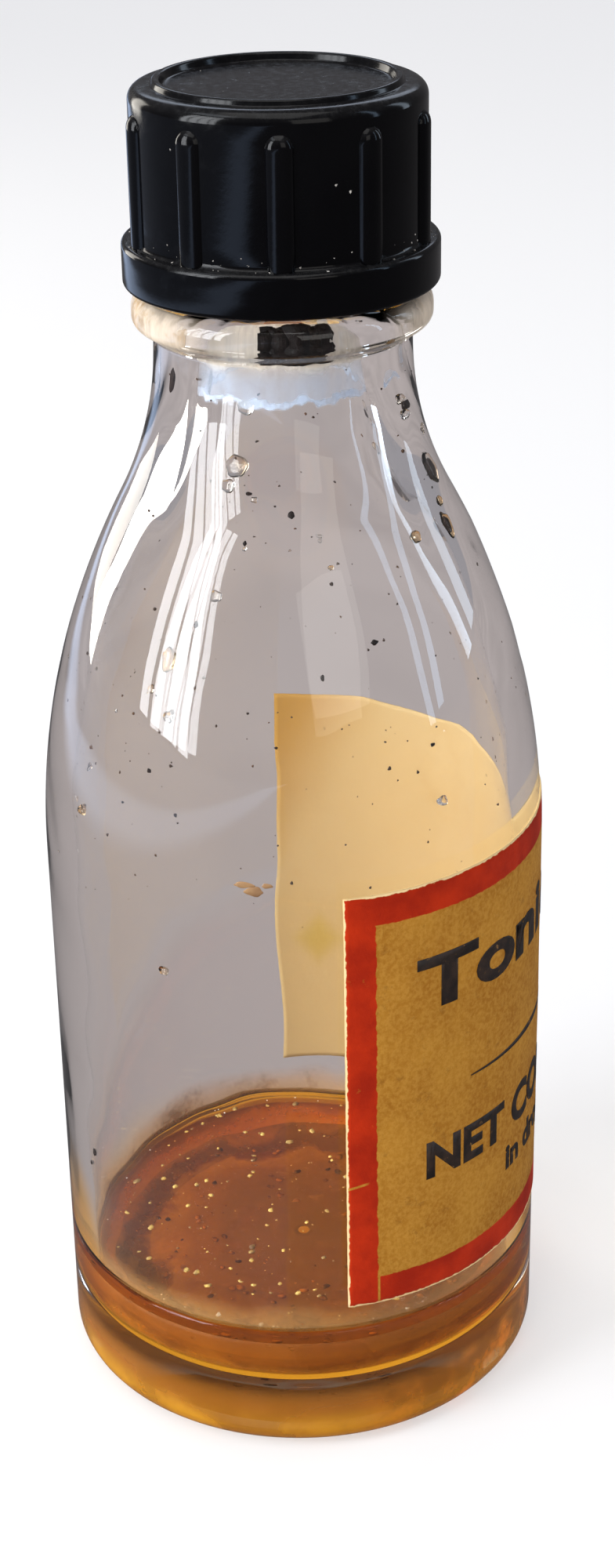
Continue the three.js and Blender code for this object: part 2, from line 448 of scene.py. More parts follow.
def lump(name, seed, flatness, detail=1):
    # an uneven grain, 1 m across, to be scaled where it is used
    mesh = bpy.data.meshes.new(name)
    shape = bmesh.new()
    bmesh.ops.create_icosphere(shape, subdivisions=detail, radius=0.5)
    for vert in shape.verts:
        x, y, z = vert.co * 4 + Vector((seed, seed * 0.7, 0))
        swell = 1 + 0.25 * math.sin(x * 1.7 + y) + 0.2 * math.sin(y * 2.3 - z * 1.9)
        vert.co = vert.co * swell
        vert.co.z *= flatness
    shape.to_mesh(mesh)
    shape.free()
    return addObject(name, mesh)


def dropHelpers(*objs):
    for obj in objs:
        bpy.data.objects.remove(obj)


ringOfCopies, scatteredCopies = makeRingTree(), makeScatterTree()


# stage: floor, lights and camera

stage = {
    "cameraTurn": -97.5,  # degrees round the bottle, from the label's middle
    "cameraBack": 192.55,  # mm from the axis
    "cameraHeight": 147.0,  # mm above the floor
    "cameraDown": 26.173,  # degrees below level
    "cameraAside": -0.363,  # degrees about the upright
    "cameraRoll": -1.083,  # degrees
    "lens": 59.62,  # mm
    "floorPale": (0.9, 0.895, 0.89, 1),
    "floorGlow": 0.45,  # how much of the floor's paleness is its own
    "throughGlass": (0.445, 0.394, 0.386, 1),  # what the clear glass shows behind it
    "underBase": (0.76, 0.37, 0.03, 1),  # and close under the base, where the bottle gathers light
    "glossDark": (0.13, 0.125, 0.13, 1),  # what shiny things reflect away from the window
    "glossPale": (1.05, 1.3, 1.8, 1),  # and what they reflect in one strip beside it
    "roomLight": (0.32, 0.305, 0.325, 1),  # light from all round
}


def makeCamera():
    turn = math.radians(stage["cameraTurn"])
    outward = Vector((math.sin(turn), -math.cos(turn), 0))
    aside = math.radians(stage["cameraAside"])
    ahead = -outward
    ahead.rotate(Matrix.Rotation(aside, 3, "Z"))
    down = math.radians(stage["cameraDown"])
    forward = ahead * math.cos(down) - Vector((0, 0, math.sin(down)))
    right = forward.cross(Vector((0, 0, 1))).normalized()
    up = right.cross(forward)
    roll = math.radians(stage["cameraRoll"])
    rolledRight = right * math.cos(roll) + up * math.sin(roll)
    rolledUp = up * math.cos(roll) - right * math.sin(roll)
    data = bpy.data.cameras.new("camera")
    data.lens, data.sensor_width = stage["lens"], 36
    data.clip_start, data.clip_end = 0.01, 50
    camera = bpy.data.objects.new("camera", data)
    basis = Matrix((rolledRight, rolledUp, -forward)).transposed()
    spot = outward * stage["cameraBack"] * mm + Vector((0, 0, stage["cameraHeight"] * mm))
    camera.matrix_world = Matrix.Translation(spot) @ basis.to_4x4()
    scene.collection.objects.link(camera)
    scene.camera = camera
    return outward, right


def softPanel(name, spot, target, width, height, brightness, colour=(1, 1, 1), throughGlass=True,
              mirrored=True):
    data = bpy.data.lights.new(name, "AREA")
    data.shape, data.size, data.size_y = "RECTANGLE", width, height
    data.color = colour
    data.energy = brightness * math.pi * width * height
    obj = bpy.data.objects.new(name, data)
    obj.location = spot
    obj.rotation_euler = (Vector(target) - Vector(spot)).to_track_quat("-Z", "Y").to_euler()
    obj.visible_camera = False
    obj.visible_transmission, obj.visible_glossy = throughGlass, mirrored
    scene.collection.objects.link(obj)


def makeLights(outward, right):
    middle = Vector((0, 0, 0.06))
    up = Vector((0, 0, 1))

    def spot(turn, back, height):
        # turn in degrees from the camera, to the right
        turn = math.radians(turn)
        return (outward * math.cos(turn) + right * math.sin(turn)) * back + up * height

    panes = ((-50, 0.05), (-57.5, 0.075), (-66, 0.075), (-74.5, 0.06))  # of a tall window, as turn and width
    for i, (turn, wide) in enumerate(panes):
        place = spot(turn, 0.6, 0.34)
        softPanel(f"pane_{i}", place, middle + up * 0.28, wide, 0.56, 11.0, (0.93, 0.96, 1.0))
    softPanel("right_sky", spot(78, 0.7, 0.34), middle, 0.05, 0.6, 4.5, (0.55, 0.75, 1.0))
    softPanel("right_edge", spot(112, 0.7, 0.3), middle, 0.10, 0.5, 4.0, (0.7, 0.84, 1.0))
    softPanel("overhead", spot(-20, 0.25, 1.1), middle, 0.9, 0.9, 1.5, (1.0, 0.99, 0.97), False)
    softPanel("upper_left", spot(-72, 0.55, 0.85), middle, 0.45, 0.2, 3.0, (0.85, 0.92, 1.0), False)
    softPanel("front_fill", spot(25, 1.3, 0.6), middle, 0.7, 0.7, 1.2, (1.0, 0.96, 0.91))
    softPanel("inside_fill", spot(-22, 0.9, 0.5), middle, 0.35, 0.35, 5.0, (1.0, 0.96, 0.92), False, False)
    softPanel("rear_wall", spot(178, 1.3, 0.85), middle, 1.1, 0.5, 1.9, (0.75, 0.84, 1.0), False)
    softPanel("rear_left", spot(-135, 0.5, 0.16), middle, 0.16, 0.3, 5.0, (1.0, 0.95, 0.86))


def makeWorld():
    world = bpy.data.worlds.new("room")
    world.use_nodes = True
    scene.world = world
    tree = world.node_tree
    tree.nodes.clear()
    path = tree.nodes.new("ShaderNodeLightPath")
    other = blendColour(tree, path.outputs["Is Glossy Ray"], stage["roomLight"], stage["glossDark"])
    other = blendColour(tree, path.outputs["Is Transmission Ray"], other, stage["roomLight"])
    colour = blendColour(tree, path.outputs["Is Camera Ray"], other, (1, 1, 1, 1))
    back = tree.nodes.new("ShaderNodeBackground")
    put(tree, back.inputs["Color"], colour)
    put(tree, back.inputs["Strength"], 1.0)
    tree.links.new(back.outputs[0], tree.nodes.new("ShaderNodeOutputWorld").inputs[0])


def mixShaders(tree, share, first, second):
    node = tree.nodes.new("ShaderNodeMixShader")
    put(tree, node.inputs["Fac"], share)
    tree.links.new(first, node.inputs[1])
    tree.links.new(second, node.inputs[2])
    return node.outputs[0]


def makeFloor(right):
    mesh = bpy.data.meshes.new("floor")
    shape = bmesh.new()
    bmesh.ops.create_circle(shape, cap_ends=True, segments=96, radius=4.0)
    shape.to_mesh(mesh)
    shape.free()
    floor = addObject("floor", mesh)
    floor.location.z = -0.0002
    material, tree, shader, place = newMaterial("pale_floor")
    put(tree, shader.inputs["Roughness"], 0.9)
    put(tree, shader.inputs["Base Color"], stage["floorPale"])
    away = reachOf(tree, place)
    share = spread(tree, away, 0.35, 2.6, stage["floorGlow"], 1.0)
    white = placed(tree, "ShaderNodeEmission", {"Color": (1, 1, 1, 1)})
    seen = mixShaders(tree, share, shader.outputs[0], white[0])
    # rays through the glass find the floor a quiet brown grey; mirrored ones find it dark, with a pale strip
    drift = spread(tree, noise(tree, place, 6.0, 2.0), 0.3, 0.7, 0.9, 1.08)
    warm = blendColour(tree, spread(tree, away, 0.024, 0.042), stage["underBase"], stage["throughGlass"])
    behind = placed(tree, "ShaderNodeEmission", {"Color": warm, "Strength": drift})
    aside = reachAlong(tree, place, -right)
    strip = calc(tree, "MULTIPLY", spread(tree, aside, 0.15, 0.21), spread(tree, aside, 0.26, 0.33, 1.0, 0.1))
    lit = blendColour(tree, strip, stage["glossDark"], stage["glossPale"])
    mirrored = placed(tree, "ShaderNodeEmission", {"Color": lit})
    path = tree.nodes.new("ShaderNodeLightPath").outputs
    unbent = mixShaders(tree, path["Is Glossy Ray"], seen, mirrored[0])
    last = mixShaders(tree, path["Is Transmission Ray"], unbent, behind[0])
    tree.links.new(last, tree.nodes["Material Output"].inputs["Surface"])
    mesh.materials.append(material)


outward, right = makeCamera()
makeLights(outward, right)
makeWorld()
makeFloor(right)
scene.view_settings.view_transform = "Standard"
print("stage: camera, lights and floor")


# glass bottle

glass = {
    "wall": 2.3, "bodyHeight": 48.4, "shoulderHeight": 42.4, "shoulderBalance": 0.7,
    "baseThickness": 4.6, "baseDome": 0.9, "bearingWidth": 4.0, "heelRadius": 2.0, "innerHeelRadius": 4.0,
    "finishRadius": 8.0, "boreRadius": 6.0, "neckStep": 1.9,
    "beadLand": 0.4, "beadHeight": 3.2, "beadProud": 1.5, "lipRound": 0.8,
    "beadFoot": 1.3, "beadFootRound": 0.8, "beadTopRound": 1.3, "landRound": 0.6, "lipWidth": 1.9,
    "bearingRound": 1.2, "domeRound": 12.0, "floorRise": 0.35, "floorRound": 14.0, "floorBend": 0.62,
    "threadPitch": 3.0, "threadHeight": 1.0, "threadTurns": 1.75, "threadTopInset": 2.4,
    "threadHalfWidth": 1.25, "unevenness": 0.07, "segments": 144, "fineStep": 0.16, "coarseStep": 2.0,
}
neckBottom = (glass["bodyHeight"] + glass["shoulderHeight"]) * mm
beadTop = neckBottom + (glass["beadLand"] + glass["beadHeight"]) * mm
cavityRadius = bodyRadius - glass["wall"] * mm
boreRadius = glass["boreRadius"] * mm
threadStart = lipTop - (glass["threadTopInset"] + glass["threadTurns"] * glass["threadPitch"]) * mm


def shoulderLine(lower, upper, steps=26):
    # a convex arc off the body that runs into a concave arc up the neck
    bottom, rise = glass["bodyHeight"] * mm, glass["shoulderHeight"] * mm
    inward = lower - upper
    both = (inward ** 2 + rise ** 2) / (2 * inward)
    convex = both * glass["shoulderBalance"]
    concave = both - convex
    turn = math.atan2(rise, both - inward)
    first = [(lower - convex + convex * math.cos(turn * i / steps),
              bottom + convex * math.sin(turn * i / steps)) for i in range(steps + 1)]
    second = [(upper + concave - concave * math.cos(turn * (1 - i / steps)),
               bottom + rise - concave * math.sin(turn * (1 - i / steps))) for i in range(1, steps + 1)]
    return first + second


def outerLine():
    neck, finish = (glass["finishRadius"] + glass["neckStep"]) * mm, glass["finishRadius"] * mm
    bead = neck + glass["beadProud"] * mm
    heel = glass["heelRadius"] * mm
    bearing = bodyRadius - heel - glass["bearingWidth"] * mm
    dome = glass["baseDome"] * mm
    base = roundedLine([
        (0, dome, 0), (bearing * 0.6, dome * 0.8, glass["domeRound"] * mm),
        (bearing, 0, glass["bearingRound"] * mm), (bodyRadius, 0, heel),
        (bodyRadius, glass["bodyHeight"] * mm, 0)])
    finishLine = roundedLine([
        (neck, neckBottom, 0), (neck, neckBottom + glass["beadLand"] * mm, glass["landRound"] * mm),
        (bead, neckBottom + glass["beadFoot"] * mm, glass["beadFootRound"] * mm),
        (bead, beadTop, glass["beadTopRound"] * mm), (finish, beadTop, 0.4 * mm),
        (finish, lipTop, glass["lipRound"] * mm), (boreRadius + 1e-5, lipTop, 0)])
    return spaced(base[:-1] + shoulderLine(bodyRadius, neck) + finishLine[1:-1], glass["coarseStep"] * mm)


def floorCorners(wall, floor, top):
    # the floor of the bottle, up in the middle, and the wall above it as far as the top
    return [
        (0, floor + glass["baseDome"] * mm, 0),
        (wall * glass["floorBend"], floor + glass["floorRise"] * mm, glass["floorRound"] * mm),
        (wall, floor, glass["innerHeelRadius"] * mm), (wall, top, 0)]


def innerLine(inset=0.0):
    # from the mouth down to the middle of the floor; an inset below zero reaches into the wall
    wall, bore = cavityRadius - inset, boreRadius - inset
    floor = glass["baseThickness"] * mm + inset
    rising = roundedLine(floorCorners(wall, floor, glass["bodyHeight"] * mm))
    rising = rising[:-1] + shoulderLine(wall, bore)
    mouth = roundedLine([
        (bore, neckBottom, 0), (bore, lipTop, glass["lipRound"] * mm),
        (bore + glass["lipWidth"] * mm, lipTop, 0)])
    return (rising + mouth[1:-1])[::-1]


def glassPush(radii, heights, angles):
    # the thread on the finish, and the slow unevenness of a moulded bottle, strongest inside
    finish = glass["finishRadius"] * mm
    onFinish = (np.abs(radii - finish) < 0.03 * mm) & (heights > beadTop)
    thread = threadRise(heights, angles, threadStart, glass["threadTurns"], glass["threadPitch"] * mm,
                        glass["threadHeight"] * mm, glass["threadHalfWidth"] * mm)
    wave = np.sin(2 * angles + heights * 90 + 0.6) * np.sin(heights * 160 + 1.1)
    wave = wave + 0.5 * np.sin(5 * angles - heights * 210) + 0.3 * np.sin(9 * angles + heights * 380 + 2.0)
    inside = (radii < cavityRadius + 0.5 * mm) & (heights < beadTop) & (heights > 0.003)
    share = np.where(inside, 1.0, 0.0) * smoothStep(0.02 * mm, 6 * mm, radii)
    return np.where(onFinish, thread, 0) - np.abs(wave) * glass["unevenness"] * mm * share


def glassMaterial():
    material, tree, shader, place = newMaterial("clear_old_glass")
    film = useGroup(tree, grimePatches, Place=place, Scale=60.0, Cover=0.45, Edge=0.25)["Mask"]
    dress(tree, shader, {
        "Base Color": blendColour(tree, film, (0.99, 0.99, 0.992, 1), (0.972, 0.968, 0.962, 1)),
        "Roughness": spread(tree, film, 0.0, 1.0, 0.0, 0.035),
        "Transmission Weight": 1.0,
        "IOR": 1.5,
        "Normal": bump(tree, noise(tree, place, 80.0, 1.0), 0.14, 0.4 * mm)})
    passLight(tree, shader, (0.93, 0.93, 0.92, 1))
    return material


outerPoints = outerLine()
finishIndex = next(i for i, p in enumerate(outerPoints) if p[1] > beadTop + 0.4 * mm)
outerPoints = outerPoints[:finishIndex] + spaced(outerPoints[finishIndex:], glass["fineStep"] * mm)
glassProfile = outerPoints + spaced(innerLine(), glass["coarseStep"] * mm)
bottleGlass = addObject("glass_shell", turnedMesh("glass_shell", glassProfile, glass["segments"], glassPush))
bottleGlass.data.materials.append(glassMaterial())
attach(bottleGlass, "bottle")
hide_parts("glass_bottle")
print("glass bottle:", len(bottleGlass.data.polygons), "faces")


# screw cap

cap = {
    "wall": 1.6, "innerRadius": 9.45, "topThickness": 2.2, "flangeHeight": 3.4, "flangeRound": 0.4,
    "edgeRound": 1.0, "ridgeInset": 2.6, "ridgeWidth": 0.9, "ridgeHeight": 0.6,
    "threadHeight": 0.75, "threadTurns": 1.25, "threadHalfWidth": 0.95, "mouthFlare": 0.5,
    "ribCount": 10, "ribPhase": 172.5, "ribWidth": 2.1, "ribProud": 0.5, "ribTopInset": 2.0, "ribBuried": 0.6,
    "segments": 160,
}
capInner = cap["innerRadius"] * mm
skirtRadius = capInner + cap["wall"] * mm
flangeTop = capBottom + cap["flangeHeight"] * mm


def capMaterial():
    material, tree, shader, place = newMaterial("black_phenolic")
    grain = useGroup(tree, fineGrain, Place=place, Scale=900.0)
    handled = useGroup(tree, grimePatches, Place=place, Scale=170.0, Cover=0.5, Edge=0.2)["Mask"]
    dust = useGroup(tree, settledDust, Place=place, Scale=1500.0, Amount=0.3)["Mask"]
    body = blendColour(tree, grain["Tone"], (0.0006, 0.0006, 0.0010, 1), (0.0014, 0.0014, 0.0018, 1))
    rough = calc(tree, "ADD", spread(tree, handled, 0.0, 1.0, 0.1, 0.2), calc(tree, "MULTIPLY", dust, 0.6))
    dress(tree, shader, {
        "Base Color": blendColour(tree, dust, body, (0.05, 0.05, 0.052, 1)),
        "Roughness": rough,
        "IOR": 1.5,
        "Specular IOR Level": 0.2,
        "Normal": bump(tree, grain["Height"], 0.12, 0.05 * mm)})
    return material


def capProfile():
    ridgeIn = skirtRadius - cap["ridgeInset"] * mm
    ridgeOut = ridgeIn + cap["ridgeWidth"] * mm
    sunk = capTop - cap["ridgeHeight"] * mm
    land = capTop - cap["ridgeHeight"] * 0.75 * mm
    ceiling = capTop - cap["topThickness"] * mm
    edge, small = cap["edgeRound"] * mm, cap["flangeRound"] * mm
    mouth = capInner + cap["mouthFlare"] * mm
    outside = roundedLine([
        (0, ceiling, 0), (capInner, ceiling, 0.3 * mm), (capInner, capBottom + 0.5 * mm, 0.1 * mm),
        (mouth, capBottom, 0.1 * mm), (flangeRadius, capBottom, small), (flangeRadius, flangeTop, small),
        (skirtRadius, flangeTop, 0.35 * mm), (skirtRadius, land, edge), (ridgeOut, land, 0.15 * mm),
        (ridgeOut - 0.2 * mm, capTop, 0.22 * mm), (ridgeIn + 0.25 * mm, capTop, 0.25 * mm),
        (ridgeIn, sunk, 0.2 * mm), (0, sunk, 0)], 12)
    return spaced(outside, 1.2 * mm)


def capPush(radii, heights, angles):
    inner = (np.abs(radii - capInner) < 0.02 * mm) & (heights > capBottom + 0.6 * mm)
    thread = threadRise(heights, angles, threadStart - glass["threadPitch"] / 2 * mm, cap["threadTurns"],
                        glass["threadPitch"] * mm, cap["threadHeight"] * mm, cap["threadHalfWidth"] * mm)
    return np.where(inner, -thread, 0)


def ribPatch():
    # one upright rib with a round top and soft feet, its back buried in the skirt
    half, proud = cap["ribWidth"] / 2 * mm, cap["ribProud"] * mm
    reach, topZ = half + 0.15 * mm, capTop - (cap["ribTopInset"] + cap["ribWidth"] / 2) * mm
    low, high = flangeTop - 0.25 * mm, topZ + reach

    def place(across, up, side):
        aside, z = (across * 2 - 1) * reach, low + (high - low) * up
        away = math.hypot(aside, max(0.0, z - topZ))
        share = min(1, away / half)
        lift = (proud + 0.06 * mm) * (1 - share ** 2.6) ** 0.62 - 0.06 * mm * (1 + share)
        radius = skirtRadius + lift if side else skirtRadius - cap["ribBuried"] * mm
        angle = aside / skirtRadius
        return radius * math.cos(angle), radius * math.sin(angle), z

    return bentSheet("rib", 24, 70, place)


capPoints = capProfile()
capFirst = next(i for i, p in enumerate(capPoints) if p[0] > capInner - 0.01 * mm)
capLast = next(i for i, p in enumerate(capPoints) if p[0] > capInner + 0.2 * mm)
capWall = spaced(capPoints[capFirst:capLast], glass["fineStep"] * mm)
capPoints = capPoints[:capFirst] + capWall + capPoints[capLast:]
black = capMaterial()
capShell = addObject("cap_shell", turnedMesh("cap_shell", capPoints, cap["segments"], capPush))
capShell.data.materials.append(black)
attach(capShell, "cap")
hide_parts("screw_cap")
ribCopy = addObject("rib", ribPatch())
capRibs = bakeNodes("cap_ribs", ringOfCopies, {
    "Copy": ribCopy, "Count": cap["ribCount"], "Phase": math.radians(cap["ribPhase"]), "Material": black})
dropHelpers(ribCopy)
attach(capRibs, "cap")
print("screw cap:", len(capShell.data.polygons) + len(capRibs.data.polygons), "faces")


# liner and facing inside the cap

liner = {"ringRadius": 7.0, "ringWidth": 1.3, "ringDepth": 0.12, "segments": 96}


def fibreMaterial(name, pale, dark, scale, roughness):
    material, tree, shader, place = newMaterial(name)
    grain = useGroup(tree, fineGrain, Place=place, Scale=scale)
    stain = useGroup(tree, grimePatches, Place=place, Scale=150.0, Cover=0.5, Edge=0.2)["Mask"]
    tone = calc(tree, "MULTIPLY_ADD", stain, 0.5, calc(tree, "MULTIPLY", grain["Tone"], 0.5))
    dress(tree, shader, {
        "Base Color": blendColour(tree, tone, pale, dark),
        "Roughness": spread(tree, grain["Tone"], 0, 1, roughness, roughness + 0.1),
        "Normal": bump(tree, grain["Height"], 0.5, 0.1 * mm)})
    return material


def discMesh(name, low, high, pressed):
    radius = (high[0] - low[0]) / 2
    corners = [(0, low[2], 0), (radius, low[2], 0.1 * mm), (radius, high[2], 0.1 * mm), (0, high[2], 0)]

    def press(radii, heights, angles):
        return 0.03 * mm * np.sin(7 * angles + 1.0) * smoothStep(radius * 0.8, radius, radii)

    mesh = turnedMesh(name, spaced(roundedLine(corners, 30), 0.5 * mm), liner["segments"], press)
    if pressed:  # the lip's ring mark on the underside
        middle, wide = liner["ringRadius"] * mm, liner["ringWidth"] * mm
        for vert in mesh.vertices:
            if vert.co.z < low[2] + 0.02 * mm:
                off = abs(math.hypot(vert.co.x, vert.co.y) - middle) / wide
                vert.co.z += liner["ringDepth"] * mm * (1 - float(smoothStep(0.6, 1.0, off)))
    return mesh


linerDisc = addObject("liner_disc", discMesh("liner_disc", linerLow, linerHigh, False))
linerDisc.data.materials.append(
    fibreMaterial("pulp_board", (0.50, 0.39, 0.26, 1), (0.27, 0.18, 0.10, 1), 1400.0, 0.85))
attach(linerDisc, "liner")
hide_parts("cap_liner")
facingDisc = addObject("facing_disc", discMesh("facing_disc", facingLow, facingHigh, True))
facingDisc.data.materials.append(
    fibreMaterial("waxed_paper", (0.72, 0.63, 0.44, 1), (0.36, 0.20, 0.08, 1), 900.0, 0.45))
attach(facingDisc, "liner")
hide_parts("liner_facing")
print("liner and facing")


# label

label = {
    "width": 62.5, "thickness": 0.12, "sink": 0.05, "columns": 150, "rows": 80,
    "frameWidth": 2.5, "edgeLine": 0.09, "cockle": 0.012, "raggedness": 0.008,
    "printRise": 0.03, "printSink": 0.04, "printStrip": 0.45,
    "ruleBase": 19.0, "ruleLeft": 11.5, "ruleWidth": 39.0, "ruleHeight": 0.55,
    "lines": {  # words, size, boldness, width, left and base
        "title": ("Tonic Drops", 6.3, 0.035, 50.0, 6.0, 27.0),
        "second": ("NET CONTENTS 60 ml", 4.6, 0.04, 48.5, 6.9, 11.0),
        "third": ("in drops as directed", 3.2, 0.04, 28.0, 16.5, 7.2),
    },
}
labelHeight = labelHigh[2] - labelLow[2]
labelSide = Vector((0, -1, 0))  # the middle of the label faces this way
labelTurn = label["width"] * mm / bodyRadius
outerRadii = np.array([p[0] for p in outerPoints])
outerHeights = np.array([p[1] for p in outerPoints])
onSide = (outerHeights > 0.003) & (outerHeights < 0.09) & (outerRadii > 0.009)


def glassRadius(z):
    return float(np.interp(z, outerHeights[onSide], outerRadii[onSide]))


def labelPoint(x, y, lift):
    # a point on the label, x and y in metres from its lower left corner
    angle = -math.pi / 2 - labelTurn / 2 + x / bodyRadius
    radius = glassRadius(labelLow[2] + y) + lift
    return radius * math.cos(angle), radius * math.sin(angle), labelLow[2] + y


def labelMesh():
    def place(across, up, side):
        x, y = across * label["width"] * mm, up * labelHeight
        cockle = label["cockle"] * mm * (math.sin(x * 700 + y * 150) + math.sin(y * 620 - x * 210 + 1.7))
        ragged = label["raggedness"] * mm * (math.sin(y * 2300) + math.sin(y * 5100 + 2)) * (across in (0, 1))
        raggedUp = label["raggedness"] * mm * (math.sin(x * 1900) + math.sin(x * 4700 + 1)) * (up in (0, 1))
        lift = label["thickness"] * mm + cockle if side else -label["sink"] * mm
        return labelPoint(x + ragged, y + raggedUp, lift)

    mesh = bentSheet("label_sheet", label["columns"], label["rows"], place)
    layer = mesh.uv_layers.new(name="sheet")
    stride, rows = label["columns"] + 1, label["rows"] + 1
    for loop in mesh.loops:
        index = loop.vertex_index % (stride * rows)
        layer.data[loop.index].uv = ((index % stride) / (stride - 1), (index // stride) / (rows - 1))
    outer = stride * rows
    for face in mesh.polygons:
        face.material_index = 0 if min(face.vertices) >= outer else 1
    return mesh


def sheetPlace(tree):
    # millimetres across and up the sheet
    uv = tree.nodes.new("ShaderNodeUVMap")
    uv.uv_map = "sheet"
    split = tree.nodes.new("ShaderNodeSeparateXYZ")
    put(tree, split.inputs[0], uv.outputs[0])
    across = calc(tree, "MULTIPLY", split.outputs["X"], label["width"])
    up = calc(tree, "MULTIPLY", split.outputs["Y"], labelHeight / mm)
    return across, up


def paperToneAndShade(tree, place):
    # aged brown paper: broad mottling, fine fibres and a few darker spots, with painted shade darkening it
    # away from its left edge, which turns towards the light, and a little towards its foot
    awayFromLight = reachAlong(tree, place, Vector((1, 0, -0.25)))
    broad = spread(tree, noise(tree, place, 190.0, 5.0, 0.62), 0.32, 0.70)
    # painted shade: the darkening grows away from the left edge and a little towards the foot
    broad = calc(tree, "MULTIPLY_ADD", broad, 0.6, spread(tree, awayFromLight, -0.030, 0.0, 0.0, 0.5))
    fibres = useGroup(tree, fineGrain, Place=place, Scale=2600.0)
    spots = useGroup(tree, grimePatches, Place=place, Scale=620.0, Cover=0.42, Edge=0.08)["Mask"]
    base = blendColour(tree, broad, (0.40, 0.180, 0.022, 1), (0.24, 0.080, 0.005, 1))
    lifted = calc(tree, "MULTIPLY", spread(tree, fibres["Height"], 0.35, 0.65), 0.45)
    fine = blendColour(tree, lifted, base, (0.54, 0.28, 0.050, 1))
    aged = blendColour(tree, calc(tree, "MULTIPLY", spots, 0.35), fine, (0.16, 0.065, 0.012, 1))
    return aged, fibres["Height"]


def labelMaterial():
    material, tree, shader, place = newMaterial("printed_label")
    across, up = sheetPlace(tree)
    paper, fibres = paperToneAndShade(tree, place)
    jitter = spread(tree, noise(tree, place, 1500.0, 3.0), 0.3, 0.7, -0.07, 0.07)
    side = calc(tree, "MINIMUM", across, calc(tree, "SUBTRACT", label["width"], across))
    end = calc(tree, "MINIMUM", up, calc(tree, "SUBTRACT", labelHeight / mm, up))
    edge = calc(tree, "ADD", calc(tree, "MINIMUM", side, end), jitter)
    outsideLine = spread(tree, edge, label["edgeLine"], label["edgeLine"] + 0.09)
    insideLine = spread(tree, edge, label["frameWidth"], label["frameWidth"] + 0.09, 1.0, 0.0)
    band = calc(tree, "MULTIPLY", outsideLine, insideLine)
    # a pale hairline where the bands meet at the lower corners
    gap = calc(tree, "ABSOLUTE", calc(tree, "SUBTRACT", side, label["frameWidth"] + 0.12))
    low = spread(tree, up, 2.6, 2.9, 1.0, 0.0)
    hairline = calc(tree, "MULTIPLY", spread(tree, gap, 0.05, 0.14, 1.0, 0.0), low)
    band = calc(tree, "MAXIMUM", band, spread(tree, end, label["frameWidth"], 2.6, 1.0, 0.0))
    band = calc(tree, "MULTIPLY", band, calc(tree, "SUBTRACT", 1.0, hairline))
    band = calc(tree, "MULTIPLY", band, outsideLine)
    # a scuff across the left band
    slope = calc(tree, "ABSOLUTE", calc(tree, "SUBTRACT", up, calc(tree, "MULTIPLY_ADD", across, 0.18, 11.6)))
    scuff = calc(tree, "MULTIPLY", spread(tree, slope, 0.05, 0.16, 1.0, 0.0),
                 spread(tree, across, 1.4, 2.0, 1.0, 0.0))
    worn = useGroup(tree, grimePatches, Place=place, Scale=900.0, Cover=0.36, Edge=0.05)["Mask"]
    lost = calc(tree, "MAXIMUM", scuff, calc(tree, "MULTIPLY", worn, 0.25))
    inked = calc(tree, "MULTIPLY", band, calc(tree, "SUBTRACT", 1.0, lost))
    shade = spread(tree, noise(tree, place, 260.0, 4.0), 0.3, 0.7)
    red = blendColour(tree, shade, (0.46, 0.026, 0.004, 1), (0.30, 0.014, 0.003, 1))
    bare = blendColour(tree, calc(tree, "SUBTRACT", 1.0, outsideLine), paper, (0.72, 0.54, 0.28, 1))
    dress(tree, shader, {
        "Base Color": blendColour(tree, inked, bare, red),
        "Roughness": spread(tree, inked, 0.0, 1.0, 0.78, 0.58),
        "Specular IOR Level": 0.05,
        "Normal": bump(tree, fibres, 0.35, 0.12 * mm)})
    return material


def labelBackMaterial():
    material, tree, shader, place = newMaterial("label_back")
    across, up = sheetPlace(tree)
    blotch = useGroup(tree, grimePatches, Place=place, Scale=75.0, Cover=0.48, Edge=0.22)["Mask"]
    fibres = useGroup(tree, fineGrain, Place=place, Scale=1500.0)
    pale = blendColour(tree, blotch, (0.57, 0.39, 0.165, 1), (0.54, 0.35, 0.13, 1))
    # damp has darkened the far upper corner and the edge beside it
    corner = calc(tree, "ADD", calc(tree, "SUBTRACT", label["width"], across),
                  calc(tree, "MULTIPLY", calc(tree, "SUBTRACT", labelHeight / mm, up), 0.6))
    damp = spread(tree, calc(tree, "ADD", corner, calc(tree, "MULTIPLY", blotch, 2.0)), 1.5, 13.0, 0.95, 0.0)
    stained = blendColour(tree, damp, pale, (0.46, 0.23, 0.025, 1))
    # and there is a small yellow spot lower down
    fromSpot = calc(tree, "ADD", calc(tree, "ABSOLUTE", calc(tree, "SUBTRACT", across, 58.5)),
                    calc(tree, "ABSOLUTE", calc(tree, "SUBTRACT", up, 12.5)))
    spot = spread(tree, fromSpot, 0.6, 3.2, 0.8, 0.0)
    stained = blendColour(tree, spot, stained, (0.50, 0.33, 0.05, 1))
    dress(tree, shader, {
        "Base Color": stained,
        "Roughness": spread(tree, fibres["Tone"], 0, 1, 0.7, 0.85),
        "Normal": bump(tree, fibres["Height"], 0.3, 0.08 * mm)})
    return material


def inkMaterial():
    material, tree, shader, place = newMaterial("printing_ink")
    paper, fibres = paperToneAndShade(tree, place)
    worn = useGroup(tree, grimePatches, Place=place, Scale=1300.0, Cover=0.40, Edge=0.08)["Mask"]
    ink = blendColour(tree, spread(tree, noise(tree, place, 900.0, 3.0), 0.35, 0.65),
                      (0.016, 0.009, 0.006, 1), (0.035, 0.017, 0.009, 1))
    dress(tree, shader, {
        "Base Color": blendColour(tree, calc(tree, "MULTIPLY", worn, 0.6), ink, paper),
        "Roughness": spread(tree, worn, 0.0, 1.0, 0.5, 0.8),
        "Normal": bump(tree, fibres, 0.25, 0.1 * mm)})
    return material


